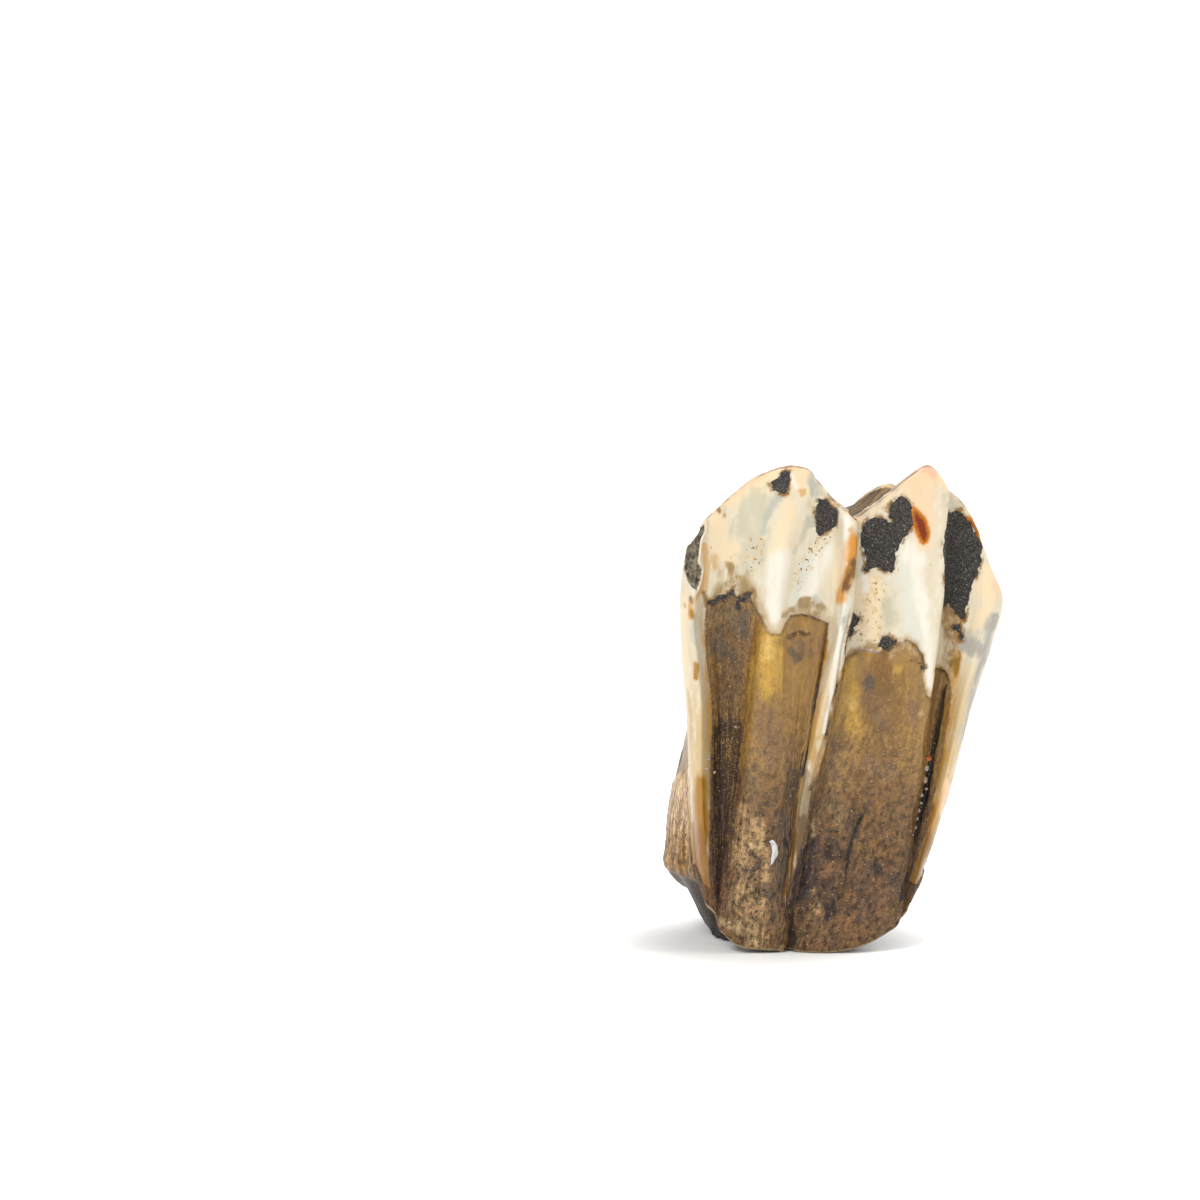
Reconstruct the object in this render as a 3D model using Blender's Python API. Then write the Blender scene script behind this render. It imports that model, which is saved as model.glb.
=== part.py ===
"""Fossil upper cheek tooth, standing on the broken end of its root.

One grown piece: a tall crown whose outer wall is folded into three styles and two ribs, with
two worn cusps on top. The frame is metres, +Z up, with the outer wall facing -Y. The origin is
on the floor, under the middle of the tooth's box.
"""

import bmesh
import bpy
import numpy as np

MM = 0.001

# Heights above the floor at which the ridges below are placed, in millimetres.
PLACE_HEIGHTS = (42.6, 34.6, 24.5, 15.3, 5.1)
DEPTH_HEIGHTS = (42.6, 24.5, 5.1)

# Ridges and grooves that run down the tooth, in order round it, in millimetres. Each has its
# place across at the five heights, its depth at the three heights, its rim and its foot.
OUTER_WALL = (
    ("left style, outer side", (-13.9, -14.9, -14.3, -13.8, -12.8), (-8.0, -9.0, -8.6), 40.3, 6.7),
    ("left style, crest", (-12.7, -13.7, -13.0, -12.9, -12.4), (-9.4, -11.2, -9.6), 42.5, 5.0),
    ("left style, inner foot", (-11.8, -12.6, -12.0, -11.8, -11.5), (-9.0, -9.2, -9.2), 43.4, 3.9),
    ("left lobe, left groove", (-10.2, -10.7, -10.7, -10.9, -11.1), (-8.6, -8.1, -8.7), 44.9, 2.7),
    ("left rib, left foot", (-7.8, -7.8, -8.5, -9.4, -10.5), (-9.2, -8.8, -9.2), 46.8, 2.0),
    ("left rib, crest", (-4.8, -5.6, -6.9, -7.8, -8.3), (-10.4, -10.6, -9.9), 48.0, 0.5),
    ("left rib, right shoulder", (-3.2, -4.2, -4.7, -5.6, -6.3), (-10.0, -10.0, -9.7), 47.7, 0.3),
    ("left lobe, right groove", (-1.7, -2.0, -2.9, -4.3, -4.9), (-9.6, -9.5, -9.3), 46.5, 0.2),
    ("middle style, left foot", (-0.1, 0.0, -1.9, -3.5, -4.3), (-10.0, -9.6, -9.0), 44.6, 0.0),
    ("middle style, crest", (1.3, 1.0, -1.0, -2.8, -4.0), (-12.2, -12.0, -9.0), 43.5, 0.1),
    ("middle style, right edge", (2.1, 1.7, -0.1, -2.1, -3.5), (-11.6, -11.4, -8.8), 42.9, 0.1),
    ("middle style, foot of step", (2.4, 2.0, 0.2, -1.8, -3.3), (-10.0, -9.6, -8.7), 43.1, 0.2),
    ("right lobe, left groove", (3.3, 2.8, 0.9, -1.2, -2.8), (-9.6, -9.2, -8.9), 43.8, 0.0),
    ("right lobe, middle", (5.0, 4.4, 2.9, 0.9, -1.0), (-9.9, -9.5, -9.4), 45.3, 0.0),
    ("right rib, left shoulder", (6.9, 6.2, 4.9, 3.2, 1.4), (-10.6, -10.4, -9.7), 47.1, 0.1),
    ("right rib, crest", (8.9, 8.4, 7.4, 5.7, 4.1), (-10.9, -11.0, -9.8), 48.0, 0.8),
    ("right rib, right edge", (10.9, 10.5, 9.3, 8.0, 6.7), (-10.6, -10.6, -9.2), 45.9, 2.4),
    ("right rib, foot of step", (11.1, 10.8, 9.6, 8.3, 6.9), (-9.4, -9.2, -8.7), 45.7, 2.7),
    ("right lobe, right groove", (12.1, 11.8, 10.6, 9.1, 7.3), (-8.9, -8.4, -8.4), 44.8, 3.3),
    ("right style, inner foot", (13.4, 13.4, 11.7, 10.0, 7.7), (-9.2, -9.2, -8.7), 43.0, 4.0),
    ("right style, crest", (14.2, 15.0, 12.6, 10.6, 7.8), (-9.4, -10.4, -8.8), 40.6, 4.7),
    ("right style, outer side", (14.6, 16.3, 13.7, 11.4, 8.1), (-8.0, -9.0, -8.0), 35.9, 5.6),
)
RIGHT_SIDE = (
    ("right side, front groove", (13.6, 15.0, 13.2, 11.1, 8.2), (-5.4, -6.0, -5.6), 38.0, 6.0),
    ("right side, middle", (13.3, 14.6, 13.1, 11.1, 8.2), (-1.0, -1.2, -1.4), 40.0, 5.2),
    ("right side, back", (12.8, 14.0, 12.8, 10.8, 7.9), (4.0, 4.0, 3.4), 40.8, 4.1),
)
INNER_WALL = (
    ("back lobe, right corner", (11.4, 12.2, 11.4, 9.8, 6.6), (8.2, 8.4, 7.6), 41.8, 3.1),
    ("back lobe, crest", (7.4, 7.8, 7.2, 6.0, 3.8), (10.6, 11.4, 10.4), 45.2, 2.3),
    ("back lobe, left foot", (3.6, 3.8, 3.0, 1.8, 0.4), (10.4, 11.0, 10.2), 43.4, 1.9),
    ("back groove", (1.5, 1.5, 0.7, -0.6, -1.8), (8.0, 8.4, 8.8), 41.7, 1.6),
    ("pillar, right edge", (-0.3, -0.2, -0.9, -2.0, -3.2), (10.4, 11.6, 10.6), 42.3, 1.9),
    ("pillar, crest", (-4.0, -4.2, -4.6, -5.4, -6.0), (11.4, 12.4, 11.0), 44.0, 2.0),
    ("pillar, left edge", (-8.0, -8.6, -8.8, -9.2, -9.4), (9.8, 10.8, 10.0), 42.4, 2.5),
)
LEFT_SIDE = (
    ("left side, back", (-10.8, -11.6, -12.1, -13.4, -13.8), (6.4, 6.8, 6.4), 40.8, 3.7),
    ("left side, bulge", (-11.6, -12.6, -13.0, -15.0, -16.2), (1.4, 1.4, 1.2), 40.2, 6.5),
    ("left side, front", (-12.6, -13.6, -13.4, -14.7, -15.6), (-3.8, -4.0, -4.0), 39.2, 7.0),
    ("left side, groove", (-13.4, -14.3, -13.9, -13.8, -13.6), (-6.2, -6.8, -6.8), 39.2, 6.8),
)
RIDGES = OUTER_WALL + RIGHT_SIDE + INNER_WALL + LEFT_SIDE

# Chewing face inside its rim: the height at its middle, how much higher the back crests are, how
# fast it falls to the two sides, and a crescent-shaped pit in each lobe, in millimetres.
CROWN_MIDDLE = (0.8, 0.6)
CROWN_HEIGHT = 41.9
CREST_RISE = 1.8
SIDE_FALL = 0.03
RIM_SHARE = 0.5
PIT_MIDDLES = ((-5.2, -3.4), (7.2, -3.2))
PIT_RADIUS = 4.3
PIT_WIDTH = 1.3
PIT_DEPTH = 2.6

# Underside: the middle of the broken root, the width of the sloping edge, and the pulp hollow.
ROOT_MIDDLE = (-3.2, 0.4)
SLOPE_SHARE = 0.3
HOLLOW_SHARE = 0.7
HOLLOW_DEPTH = 2.0

# Mesh: columns between two ridges, rows up the wall, and rings across each end.
COLUMNS_BETWEEN_RIDGES = 3
WALL_ROWS = 28
CROWN_RINGS = (0.05, 0.12, 0.2, 0.29, 0.39, 0.5, 0.61, 0.73, 0.86)
ROOT_RINGS = (0.06, 0.16, SLOPE_SHARE, 0.5, HOLLOW_SHARE, 0.85)

# Finish, read from the brown cement that covers most of the tooth.
TOOTH_COLOUR = (0.42, 0.30, 0.17, 1.0)
TOOTH_ROUGHNESS = 0.5


def smooth_curve(keys, values, at):
    """Values at the places in at, on a smooth curve through the keys, straight beyond its ends.

    Both values and at may have one row for each column of the tooth.
    """
    keys = np.asarray(keys, dtype=float)
    values = np.asarray(values, dtype=float)
    slopes = np.gradient(values, keys, axis=-1)
    clamped = np.clip(at, keys[0], keys[-1])
    start = np.clip(np.searchsorted(keys, clamped, side="right") - 1, 0, len(keys) - 2)
    span = keys[start + 1] - keys[start]
    t = (clamped - keys[start]) / span

    def pick(table, index):
        if table.ndim == 1:
            return table[index]
        return np.take_along_axis(table, index, axis=-1)

    inside = (
        pick(values, start) * (1 + 2 * t) * (1 - t) ** 2
        + pick(slopes, start) * span * t * (1 - t) ** 2
        + pick(values, start + 1) * t**2 * (3 - 2 * t)
        - pick(slopes, start + 1) * span * t**2 * (1 - t)
    )
    edge_slope = np.where(at < keys[0], pick(slopes, start), pick(slopes, start + 1))
    return inside + (at - clamped) * edge_slope


def smoothstep(low, high, value):
    """0 below low, 1 above high, and a soft ramp between them."""
    t = np.clip((value - low) / (high - low), 0.0, 1.0)
    return t * t * (3 - 2 * t)


def closed_columns(values, steps):
    """Values for every column, on a smooth closed curve through the ridges' own values."""
    across = np.array([ridge[1][1] for ridge in RIDGES])
    depth = np.array([ridge[2][1] for ridge in RIDGES])
    chords = np.hypot(np.roll(across, -1) - across, np.roll(depth, -1) - depth)
    around = np.concatenate(([0.0], np.cumsum(chords)))
    length = around[-1]
    keys = np.concatenate((around[:-1] - length, around[:-1], around[:-1] + length))
    places = np.concatenate([
        np.linspace(around[i], around[i + 1], steps, endpoint=False) for i in range(len(RIDGES))
    ])
    return smooth_curve(keys, np.tile(values, 3), places)


def wall_columns(steps):
    """Place across, depth, rim and foot of every column round the wall."""
    across = np.stack([
        closed_columns([ridge[1][i] for ridge in RIDGES], steps) for i in range(len(PLACE_HEIGHTS))
    ], axis=1)
    depth = np.stack([
        closed_columns([ridge[2][i] for ridge in RIDGES], steps) for i in range(len(DEPTH_HEIGHTS))
    ], axis=1)
    rim = closed_columns([ridge[3] for ridge in RIDGES], steps)
    foot = np.maximum(closed_columns([ridge[4] for ridge in RIDGES], steps), 0.0)
    return across, depth, rim, foot


def wall_loops(steps, rows):
    """Loops of points up the wall, from its foot to its rim."""
    across, depth, rim, foot = wall_columns(steps)
    share = np.linspace(0.0, 1.0, rows)
    height = foot[:, None] + (rim - foot)[:, None] * share
    x = smooth_curve(PLACE_HEIGHTS[::-1], across[:, ::-1], height)
    y = smooth_curve(DEPTH_HEIGHTS[::-1], depth[:, ::-1], height)
    return [np.stack((x[:, i], y[:, i], height[:, i]), axis=1) for i in range(rows)]


def crown_height(x, y):
    """Height of the chewing face away from its rim."""
    height = CROWN_HEIGHT - SIDE_FALL * (x - CROWN_MIDDLE[0]) ** 2
    height += CREST_RISE * smoothstep(0.0, 8.0, y)
    for middle_x, middle_y in PIT_MIDDLES:
        from_arc = np.hypot(x - middle_x, y - middle_y) - PIT_RADIUS
        behind = smoothstep(-1.0, 1.5, y - middle_y)
        height -= PIT_DEPTH * behind * np.exp(-((from_arc / PIT_WIDTH) ** 2))
    return height


def crown_loops(rim):
    """Loops from the rim in over the chewing face."""
    middle = np.array((*CROWN_MIDDLE, 0.0))
    loops = []
    for share in CROWN_RINGS:
        loop = rim + (middle - rim) * share
        inside = smoothstep(0.0, RIM_SHARE, share)
        face = crown_height(loop[:, 0], loop[:, 1])
        loop[:, 2] = rim[:, 2] + (face - rim[:, 2]) * inside
        loops.append(loop)
    return loops


def root_loops(foot):
    """Loops from the wall's foot in under the tooth, down to the flat that it stands on."""
    middle = np.array((*ROOT_MIDDLE, 0.0))
    loops = []
    for share in ROOT_RINGS:
        loop = foot + (middle - foot) * share
        loop[:, 2] = foot[:, 2] * (1 - smoothstep(0.0, SLOPE_SHARE, share))
        loop[:, 2] += HOLLOW_DEPTH * smoothstep(HOLLOW_SHARE, 1.0, share)
        loops.append(loop)
    return loops


def skin(loops, first_tip, last_tip):
    """A closed mesh from loops, with a fan of triangles to a tip at each end."""
    mesh = bmesh.new()
    rings = [[mesh.verts.new(point * MM) for point in loop] for loop in loops]
    columns = len(rings[0])
    for lower, upper in zip(rings, rings[1:]):
        for i in range(columns):
            after = (i + 1) % columns
            mesh.faces.new((lower[i], lower[after], upper[after], upper[i]))
    first = mesh.verts.new(np.array(first_tip) * MM)
    last = mesh.verts.new(np.array(last_tip) * MM)
    for i in range(columns):
        after = (i + 1) % columns
        mesh.faces.new((first, rings[0][after], rings[0][i]))
        mesh.faces.new((last, rings[-1][i], rings[-1][after]))
    bmesh.ops.triangulate(mesh, faces=mesh.faces[:])
    return mesh


def set_on_origin(mesh):
    """Move the mesh so that the middle of its box is over the origin and it stands on z = 0."""
    points = np.array([vert.co[:] for vert in mesh.verts])
    low = points.min(axis=0)
    high = points.max(axis=0)
    shift = (-(low[0] + high[0]) / 2, -(low[1] + high[1]) / 2, -low[2])
    bmesh.ops.translate(mesh, verts=mesh.verts[:], vec=shift)


def tooth_material():
    """Aged brown cement with a low sheen."""
    material = bpy.data.materials.new("tooth")
    material.use_nodes = True
    shader = material.node_tree.nodes["Principled BSDF"]
    shader.inputs["Base Color"].default_value = TOOTH_COLOUR
    shader.inputs["Roughness"].default_value = TOOTH_ROUGHNESS
    shader.inputs["Metallic"].default_value = 0.0
    material.diffuse_color = TOOTH_COLOUR
    return material


def build_tooth():
    """The whole tooth as one closed solid."""
    wall = wall_loops(COLUMNS_BETWEEN_RIDGES, WALL_ROWS)
    root = root_loops(wall[0])
    crown = crown_loops(wall[-1])
    loops = root[::-1] + wall + crown
    root_tip = (*ROOT_MIDDLE, HOLLOW_DEPTH)
    crown_tip = (*CROWN_MIDDLE, float(crown_height(*np.array(CROWN_MIDDLE))))
    mesh = skin(loops, root_tip, crown_tip)
    set_on_origin(mesh)
    data = bpy.data.meshes.new("tooth")
    mesh.to_mesh(data)
    mesh.free()
    data.materials.append(tooth_material())
    data.shade_smooth()
    tooth = bpy.data.objects.new("tooth", data)
    bpy.context.scene.collection.objects.link(tooth)
    return tooth


for old in list(bpy.data.objects):
    bpy.data.objects.remove(old, do_unlink=True)
build_tooth()
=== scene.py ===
"""Looks of a fossil cheek tooth that stands on its broken root, with its ribbed outer wall at -Y.

Shapes are worked out in millimetres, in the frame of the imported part, and written in metres.
"""
import math

import bmesh
import bpy
import numpy as np
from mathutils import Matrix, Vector, noise


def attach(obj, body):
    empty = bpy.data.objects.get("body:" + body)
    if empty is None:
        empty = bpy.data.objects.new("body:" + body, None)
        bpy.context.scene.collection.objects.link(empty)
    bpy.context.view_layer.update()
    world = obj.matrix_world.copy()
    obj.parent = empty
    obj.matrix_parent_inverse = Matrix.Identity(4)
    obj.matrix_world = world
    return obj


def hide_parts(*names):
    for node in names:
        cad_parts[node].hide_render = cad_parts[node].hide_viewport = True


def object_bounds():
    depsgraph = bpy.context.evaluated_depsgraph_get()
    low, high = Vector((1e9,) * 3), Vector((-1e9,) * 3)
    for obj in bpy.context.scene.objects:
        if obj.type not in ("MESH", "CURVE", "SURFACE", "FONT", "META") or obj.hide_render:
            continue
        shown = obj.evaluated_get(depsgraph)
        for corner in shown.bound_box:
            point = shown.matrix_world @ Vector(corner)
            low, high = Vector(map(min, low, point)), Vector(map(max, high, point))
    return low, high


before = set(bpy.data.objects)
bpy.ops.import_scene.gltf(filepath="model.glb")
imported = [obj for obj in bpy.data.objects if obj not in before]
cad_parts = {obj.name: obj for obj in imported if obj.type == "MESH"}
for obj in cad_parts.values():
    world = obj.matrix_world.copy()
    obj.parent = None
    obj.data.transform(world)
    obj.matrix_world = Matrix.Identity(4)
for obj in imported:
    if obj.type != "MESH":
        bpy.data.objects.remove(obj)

cad_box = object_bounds()

# The wall. The tooth grew as a tall sleeve of enamel, whose outer side is folded into three
# styles and two ribs. Each ridge and groove runs the whole way down, and the wall is one
# smooth skin over them, rounded off along its worn rim and its foot.
MM = 0.001
PLACE_HEIGHTS = (42.6, 34.6, 24.5, 15.3, 5.1)
DEPTH_HEIGHTS = (42.6, 24.5, 5.1)

# Name, place across at the five heights, depth at the three heights, rim, foot, and the height
# up to which brown cement covers the enamel, in order round the tooth.
OUTER_WALL = (
    ("left style, outer side", (-13.9, -14.9, -14.3, -13.8, -12.8), (-8.0, -9.0, -8.6), 40.3, 6.7, 4),
    ("left style, crest", (-12.7, -13.7, -13.0, -12.9, -12.4), (-9.4, -11.2, -9.6), 42.5, 5.0, 4),
    ("left style, inner foot", (-11.8, -12.6, -12.0, -11.8, -11.5), (-9.0, -9.2, -9.2), 43.4, 3.9, 34.6),
    ("left lobe, left groove", (-10.2, -10.7, -10.7, -10.9, -11.1), (-8.6, -8.1, -8.7), 44.9, 2.7, 35.6),
    ("left rib, left foot", (-7.8, -7.8, -8.5, -9.4, -10.5), (-9.2, -8.8, -9.2), 46.8, 2.0, 34.4),
    ("left rib, crest", (-4.8, -5.6, -6.9, -7.8, -8.3), (-10.4, -10.6, -9.9), 48.0, 0.5, 31.6),
    ("left rib, right shoulder", (-3.2, -4.2, -4.7, -5.6, -6.3), (-10.0, -10.0, -9.7), 47.7, 0.3, 33.7),
    ("left lobe, right groove", (-1.7, -2.0, -2.9, -4.3, -4.9), (-9.6, -9.5, -9.3), 46.5, 0.2, 33.4),
    ("middle style, left foot", (-0.1, 0.0, -1.9, -3.5, -4.3), (-10.0, -9.6, -9.0), 44.6, 0.0, 32.6),
    ("middle style, crest", (1.3, 1.0, -1.0, -2.8, -4.0), (-12.2, -12.0, -9.0), 43.5, 0.1, 4),
    ("middle style, right edge", (2.1, 1.7, -0.1, -2.1, -3.5), (-11.6, -11.4, -8.8), 42.9, 0.1, 4),
    ("middle style, foot of step", (2.4, 2.0, 0.2, -1.8, -3.3), (-10.0, -9.6, -8.7), 43.1, 0.2, 30),
    ("right lobe, left groove", (3.3, 2.8, 0.9, -1.2, -2.8), (-9.6, -9.2, -8.9), 43.8, 0.0, 30.2),
    ("right lobe, middle", (5.0, 4.4, 2.9, 0.9, -1.0), (-9.9, -9.5, -9.4), 45.3, 0.0, 31),
    ("right rib, left shoulder", (6.9, 6.2, 4.9, 3.2, 1.4), (-10.6, -10.4, -9.7), 47.1, 0.1, 30.8),
    ("right rib, crest", (8.9, 8.4, 7.4, 5.7, 4.1), (-10.9, -11.0, -9.8), 48.0, 0.8, 29.6),
    ("right rib, right edge", (10.9, 10.5, 9.3, 8.0, 6.7), (-10.6, -10.6, -9.2), 45.9, 2.4, 25.2),
    ("right rib, foot of step", (11.1, 10.8, 9.6, 8.3, 6.9), (-9.4, -9.2, -8.7), 45.7, 2.7, 33),
    ("right lobe, right groove", (12.1, 11.8, 10.6, 9.1, 7.3), (-8.9, -8.4, -8.4), 44.8, 3.3, 32.6),
    ("right style, inner foot", (13.4, 13.4, 11.7, 10.0, 7.7), (-9.2, -9.2, -8.7), 43.0, 4.0, 26),
    ("right style, crest", (14.2, 15.0, 12.6, 10.6, 7.8), (-9.4, -10.4, -8.8), 40.6, 4.7, 5),
    ("right style, outer side", (14.6, 16.3, 13.7, 11.4, 8.1), (-8.0, -9.0, -8.0), 35.9, 5.6, 5),
)
OTHER_WALLS = (
    ("right side, front groove", (13.6, 15.0, 13.2, 11.1, 8.2), (-5.4, -6.0, -5.6), 38.0, 6.0, 22),
    ("right side, middle", (13.3, 14.6, 13.1, 11.1, 8.2), (-1.0, -1.2, -1.4), 40.0, 5.2, 34),
    ("right side, back", (12.8, 14.0, 12.8, 10.8, 7.9), (4.0, 4.0, 3.4), 40.8, 4.1, 35),
    ("back lobe, right corner", (11.4, 12.2, 11.4, 9.8, 6.6), (8.2, 8.4, 7.6), 41.8, 3.1, 33),
    ("back lobe, crest", (7.4, 7.8, 7.2, 6.0, 3.8), (10.6, 11.4, 10.4), 45.2, 2.3, 31),
    ("back lobe, left foot", (3.6, 3.8, 3.0, 1.8, 0.4), (10.4, 11.0, 10.2), 43.4, 1.9, 34),
    ("back groove", (1.5, 1.5, 0.7, -0.6, -1.8), (8.0, 8.4, 8.8), 41.7, 1.6, 37),
    ("pillar, right edge", (-0.3, -0.2, -0.9, -2.0, -3.2), (10.4, 11.6, 10.6), 42.3, 1.9, 34),
    ("pillar, crest", (-4.0, -4.2, -4.6, -5.4, -6.0), (11.4, 12.4, 11.0), 44.0, 2.0, 30),
    ("pillar, left edge", (-8.0, -8.6, -8.8, -9.2, -9.4), (9.8, 10.8, 10.0), 42.4, 2.5, 33),
    ("left side, back", (-10.8, -11.6, -12.1, -13.4, -13.8), (6.4, 6.8, 6.4), 40.8, 3.7, 34),
    ("left side, bulge", (-11.6, -12.6, -13.0, -15.0, -16.2), (1.4, 1.4, 1.2), 40.2, 6.5, 33),
    ("left side, front", (-12.6, -13.6, -13.4, -14.7, -15.6), (-3.8, -4.0, -4.0), 39.2, 7.0, 26),
    ("left side, groove", (-13.4, -14.3, -13.9, -13.8, -13.6), (-6.2, -6.8, -6.8), 39.2, 6.8, 21),
)
RIDGES = OUTER_WALL + OTHER_WALLS
OUTER_STEPS = 13
OTHER_STEPS = 6
WALL_ROWS = 190
EDGE_OFFSETS = (0.0, 0.03, 0.09, 0.18, 0.3, 0.45)
EDGE_ROUND = 0.45
EDGE_GAP = 0.15


def smoothstep(low, high, value):
    """0 below low, 1 above high, and a soft ramp between them."""
    t = np.clip((value - low) / (high - low), 0.0, 1.0)
    return t * t * (3 - 2 * t)


def smooth_curve(keys, values, at):
    """Values at the places in at, on a smooth curve through the keys, straight beyond its ends."""
    keys = np.asarray(keys, dtype=float)
    values = np.asarray(values, dtype=float)
    slopes = np.gradient(values, keys, axis=-1)
    clamped = np.clip(at, keys[0], keys[-1])
    start = np.clip(np.searchsorted(keys, clamped, side="right") - 1, 0, len(keys) - 2)
    span = keys[start + 1] - keys[start]
    t = (clamped - keys[start]) / span

    def pick(table, index):
        return table[index] if table.ndim == 1 else np.take_along_axis(table, index, axis=-1)

    inside = (
        pick(values, start) * (1 + 2 * t) * (1 - t) ** 2
        + pick(slopes, start) * span * t * (1 - t) ** 2
        + pick(values, start + 1) * t**2 * (3 - 2 * t)
        - pick(slopes, start + 1) * span * t**2 * (1 - t)
    )
    edge_slope = np.where(at < keys[0], pick(slopes, start), pick(slopes, start + 1))
    return inside + (at - clamped) * edge_slope


def columns_round_tooth():
    """Distance round the tooth of every ridge, of every column, and once round, in millimetres."""
    across = np.array([ridge[1][1] for ridge in RIDGES])
    depth = np.array([ridge[2][1] for ridge in RIDGES])
    chords = np.hypot(np.roll(across, -1) - across, np.roll(depth, -1) - depth)
    edges = np.concatenate(([0.0], np.cumsum(chords)))
    places = []
    for i in range(len(RIDGES)):
        steps = OUTER_STEPS if i < len(OUTER_WALL) - 1 else OTHER_STEPS
        places.append(np.linspace(edges[i], edges[i + 1], steps, endpoint=False))
    return edges[:-1], np.concatenate(places), edges[-1]


ridge_places, column_places, girth = columns_round_tooth()


def round_tooth(values):
    """Values for every column, on a smooth closed curve through the ridges' own values."""
    keys = np.concatenate((ridge_places - girth, ridge_places, ridge_places + girth))
    return smooth_curve(keys, np.tile(np.asarray(values, dtype=float), 3), column_places)


across = np.stack([round_tooth([r[1][i] for r in RIDGES]) for i in range(len(PLACE_HEIGHTS))], axis=1)
depth = np.stack([round_tooth([r[2][i] for r in RIDGES]) for i in range(len(DEPTH_HEIGHTS))], axis=1)


def columns_at(height):
    """Places across and in depth of every column, at a grid of heights."""
    x = smooth_curve(PLACE_HEIGHTS[::-1], across[:, ::-1], height)
    return x, smooth_curve(DEPTH_HEIGHTS[::-1], depth[:, ::-1], height)


def wall_loops():
    """Loops of points up the wall, with soft edges at its foot and its rim."""
    rim = round_tooth([r[3] for r in RIDGES])[:, None]
    foot = np.maximum(round_tooth([r[4] for r in RIDGES]), 0.0)[:, None]
    offsets = np.array(EDGE_OFFSETS)
    share = np.linspace(0.0, 1.0, WALL_ROWS)
    low = foot + EDGE_ROUND + EDGE_GAP
    high = rim - EDGE_ROUND - EDGE_GAP
    height = np.concatenate((foot + offsets, low + (high - low) * share, rim - offsets[::-1]), axis=1)
    x, y = columns_at(height)
    return np.stack((x, y, height), axis=2).transpose(1, 0, 2)


def outward(points):
    """Unit vectors out of the skin at every point of a grid of loops."""
    along = np.roll(points, -1, axis=1) - np.roll(points, 1, axis=1)
    up = np.gradient(points, axis=0)
    out = np.cross(along, up)
    length = np.linalg.norm(out, axis=2, keepdims=True)
    return out / np.maximum(length, 1e-9)


def rounded_edges(wall):
    """The wall with its rim and its foot drawn in, but not where a thin fold faces sideways."""
    flat = outward(wall) * (1, 1, 0)
    from_middle = wall - wall.mean(axis=1, keepdims=True)
    from_middle /= np.hypot(from_middle[:, :, 0], from_middle[:, :, 1])[:, :, None]
    facing_out = np.clip((flat * from_middle).sum(axis=2) * 2, 0.0, 1.0)
    from_end = np.minimum(wall[:, :, 2] - wall[0, :, 2], wall[-1, :, 2] - wall[:, :, 2])
    short = np.clip(EDGE_ROUND - from_end, 0.0, EDGE_ROUND)
    drawn_in = EDGE_ROUND - np.sqrt(EDGE_ROUND**2 - short**2)
    return wall - flat * (drawn_in * facing_out)[:, :, None]


wall = rounded_edges(wall_loops())

# The chewing face. Grinding wore it down to brown dentine between edges of harder enamel: the
# cusps of the outer wall stand highest, and behind them the face dips to two crescent-shaped
# pits, each inside its own thin wall of enamel.
CROWN_MIDDLE = (0.8, 0.6)
CROWN_HEIGHT = 41.9
CREST_RISE = 1.8
SIDE_FALL = 0.03
RIM_SHARE = 0.5
PIT_MIDDLES = ((-5.2, -3.4), (7.2, -3.2))
PIT_RADIUS = 4.3
PIT_WIDTH = 1.3
PIT_DEPTH = 2.6
PIT_WALL = 1.7
PIT_LIP = 0.35
RIM_ENAMEL = 0.8
DENTINE_DIP = 0.4
CROWN_RINGS = np.linspace(0.0, 1.0, 36)[1:-1] ** 1.25


def pit_distance(x, y):
    """Distance from the middle line of the nearer crescent-shaped pit, in millimetres."""
    nearest = np.full_like(x, 99.0)
    for middle_x, middle_y in PIT_MIDDLES:
        from_arc = np.abs(np.hypot(x - middle_x, y - middle_y) - PIT_RADIUS)
        before = np.maximum(0.3 - (y - middle_y), 0.0)
        nearest = np.minimum(nearest, np.hypot(from_arc, before))
    return nearest


def crown_height(x, y):
    """Height of the chewing face away from its rim."""
    height = CROWN_HEIGHT - SIDE_FALL * (x - CROWN_MIDDLE[0]) ** 2
    height += CREST_RISE * smoothstep(0.0, 8.0, y)
    from_pit = pit_distance(x, y)
    height -= PIT_DEPTH * np.exp(-((from_pit / PIT_WIDTH) ** 2))
    return height + PIT_LIP * np.exp(-(((from_pit - PIT_WALL) / PIT_LIP) ** 2))


def crown_loops(rim):
    """Loops from the rim in over the chewing face."""
    share = CROWN_RINGS[:, None]
    x = rim[None, :, 0] + (CROWN_MIDDLE[0] - rim[None, :, 0]) * share
    y = rim[None, :, 1] + (CROWN_MIDDLE[1] - rim[None, :, 1]) * share
    rim_height = rim[None, :, 2]
    z = rim_height + (crown_height(x, y) - rim_height) * smoothstep(0.0, RIM_SHARE, share)
    from_rim = np.hypot(x - rim[None, :, 0], y - rim[None, :, 1])
    dentine = smoothstep(RIM_ENAMEL - 0.3, RIM_ENAMEL + 0.3, from_rim)
    return np.stack((x, y, z - DENTINE_DIP * dentine * (1 - smoothstep(0.3, 0.6, share))), axis=2)


crown = crown_loops(wall[-1])

# The broken root. Its dentine snapped off below the wall, and left slopes that run in from the
# wall's foot to a rough flat, with the open pulp hollow in the middle. The tooth stands on it.
ROOT_MIDDLE = (-3.2, 0.4)
SLOPE_SHARE = 0.3
LEFT_SLOPE = 0.13
RIGHT_SLOPE = 0.35
HOLLOW_SHARE = 0.7
HOLLOW_DEPTH = 2.0
ROOT_RINGS = np.linspace(0.0, 1.0, 24)[1:-1]


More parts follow.
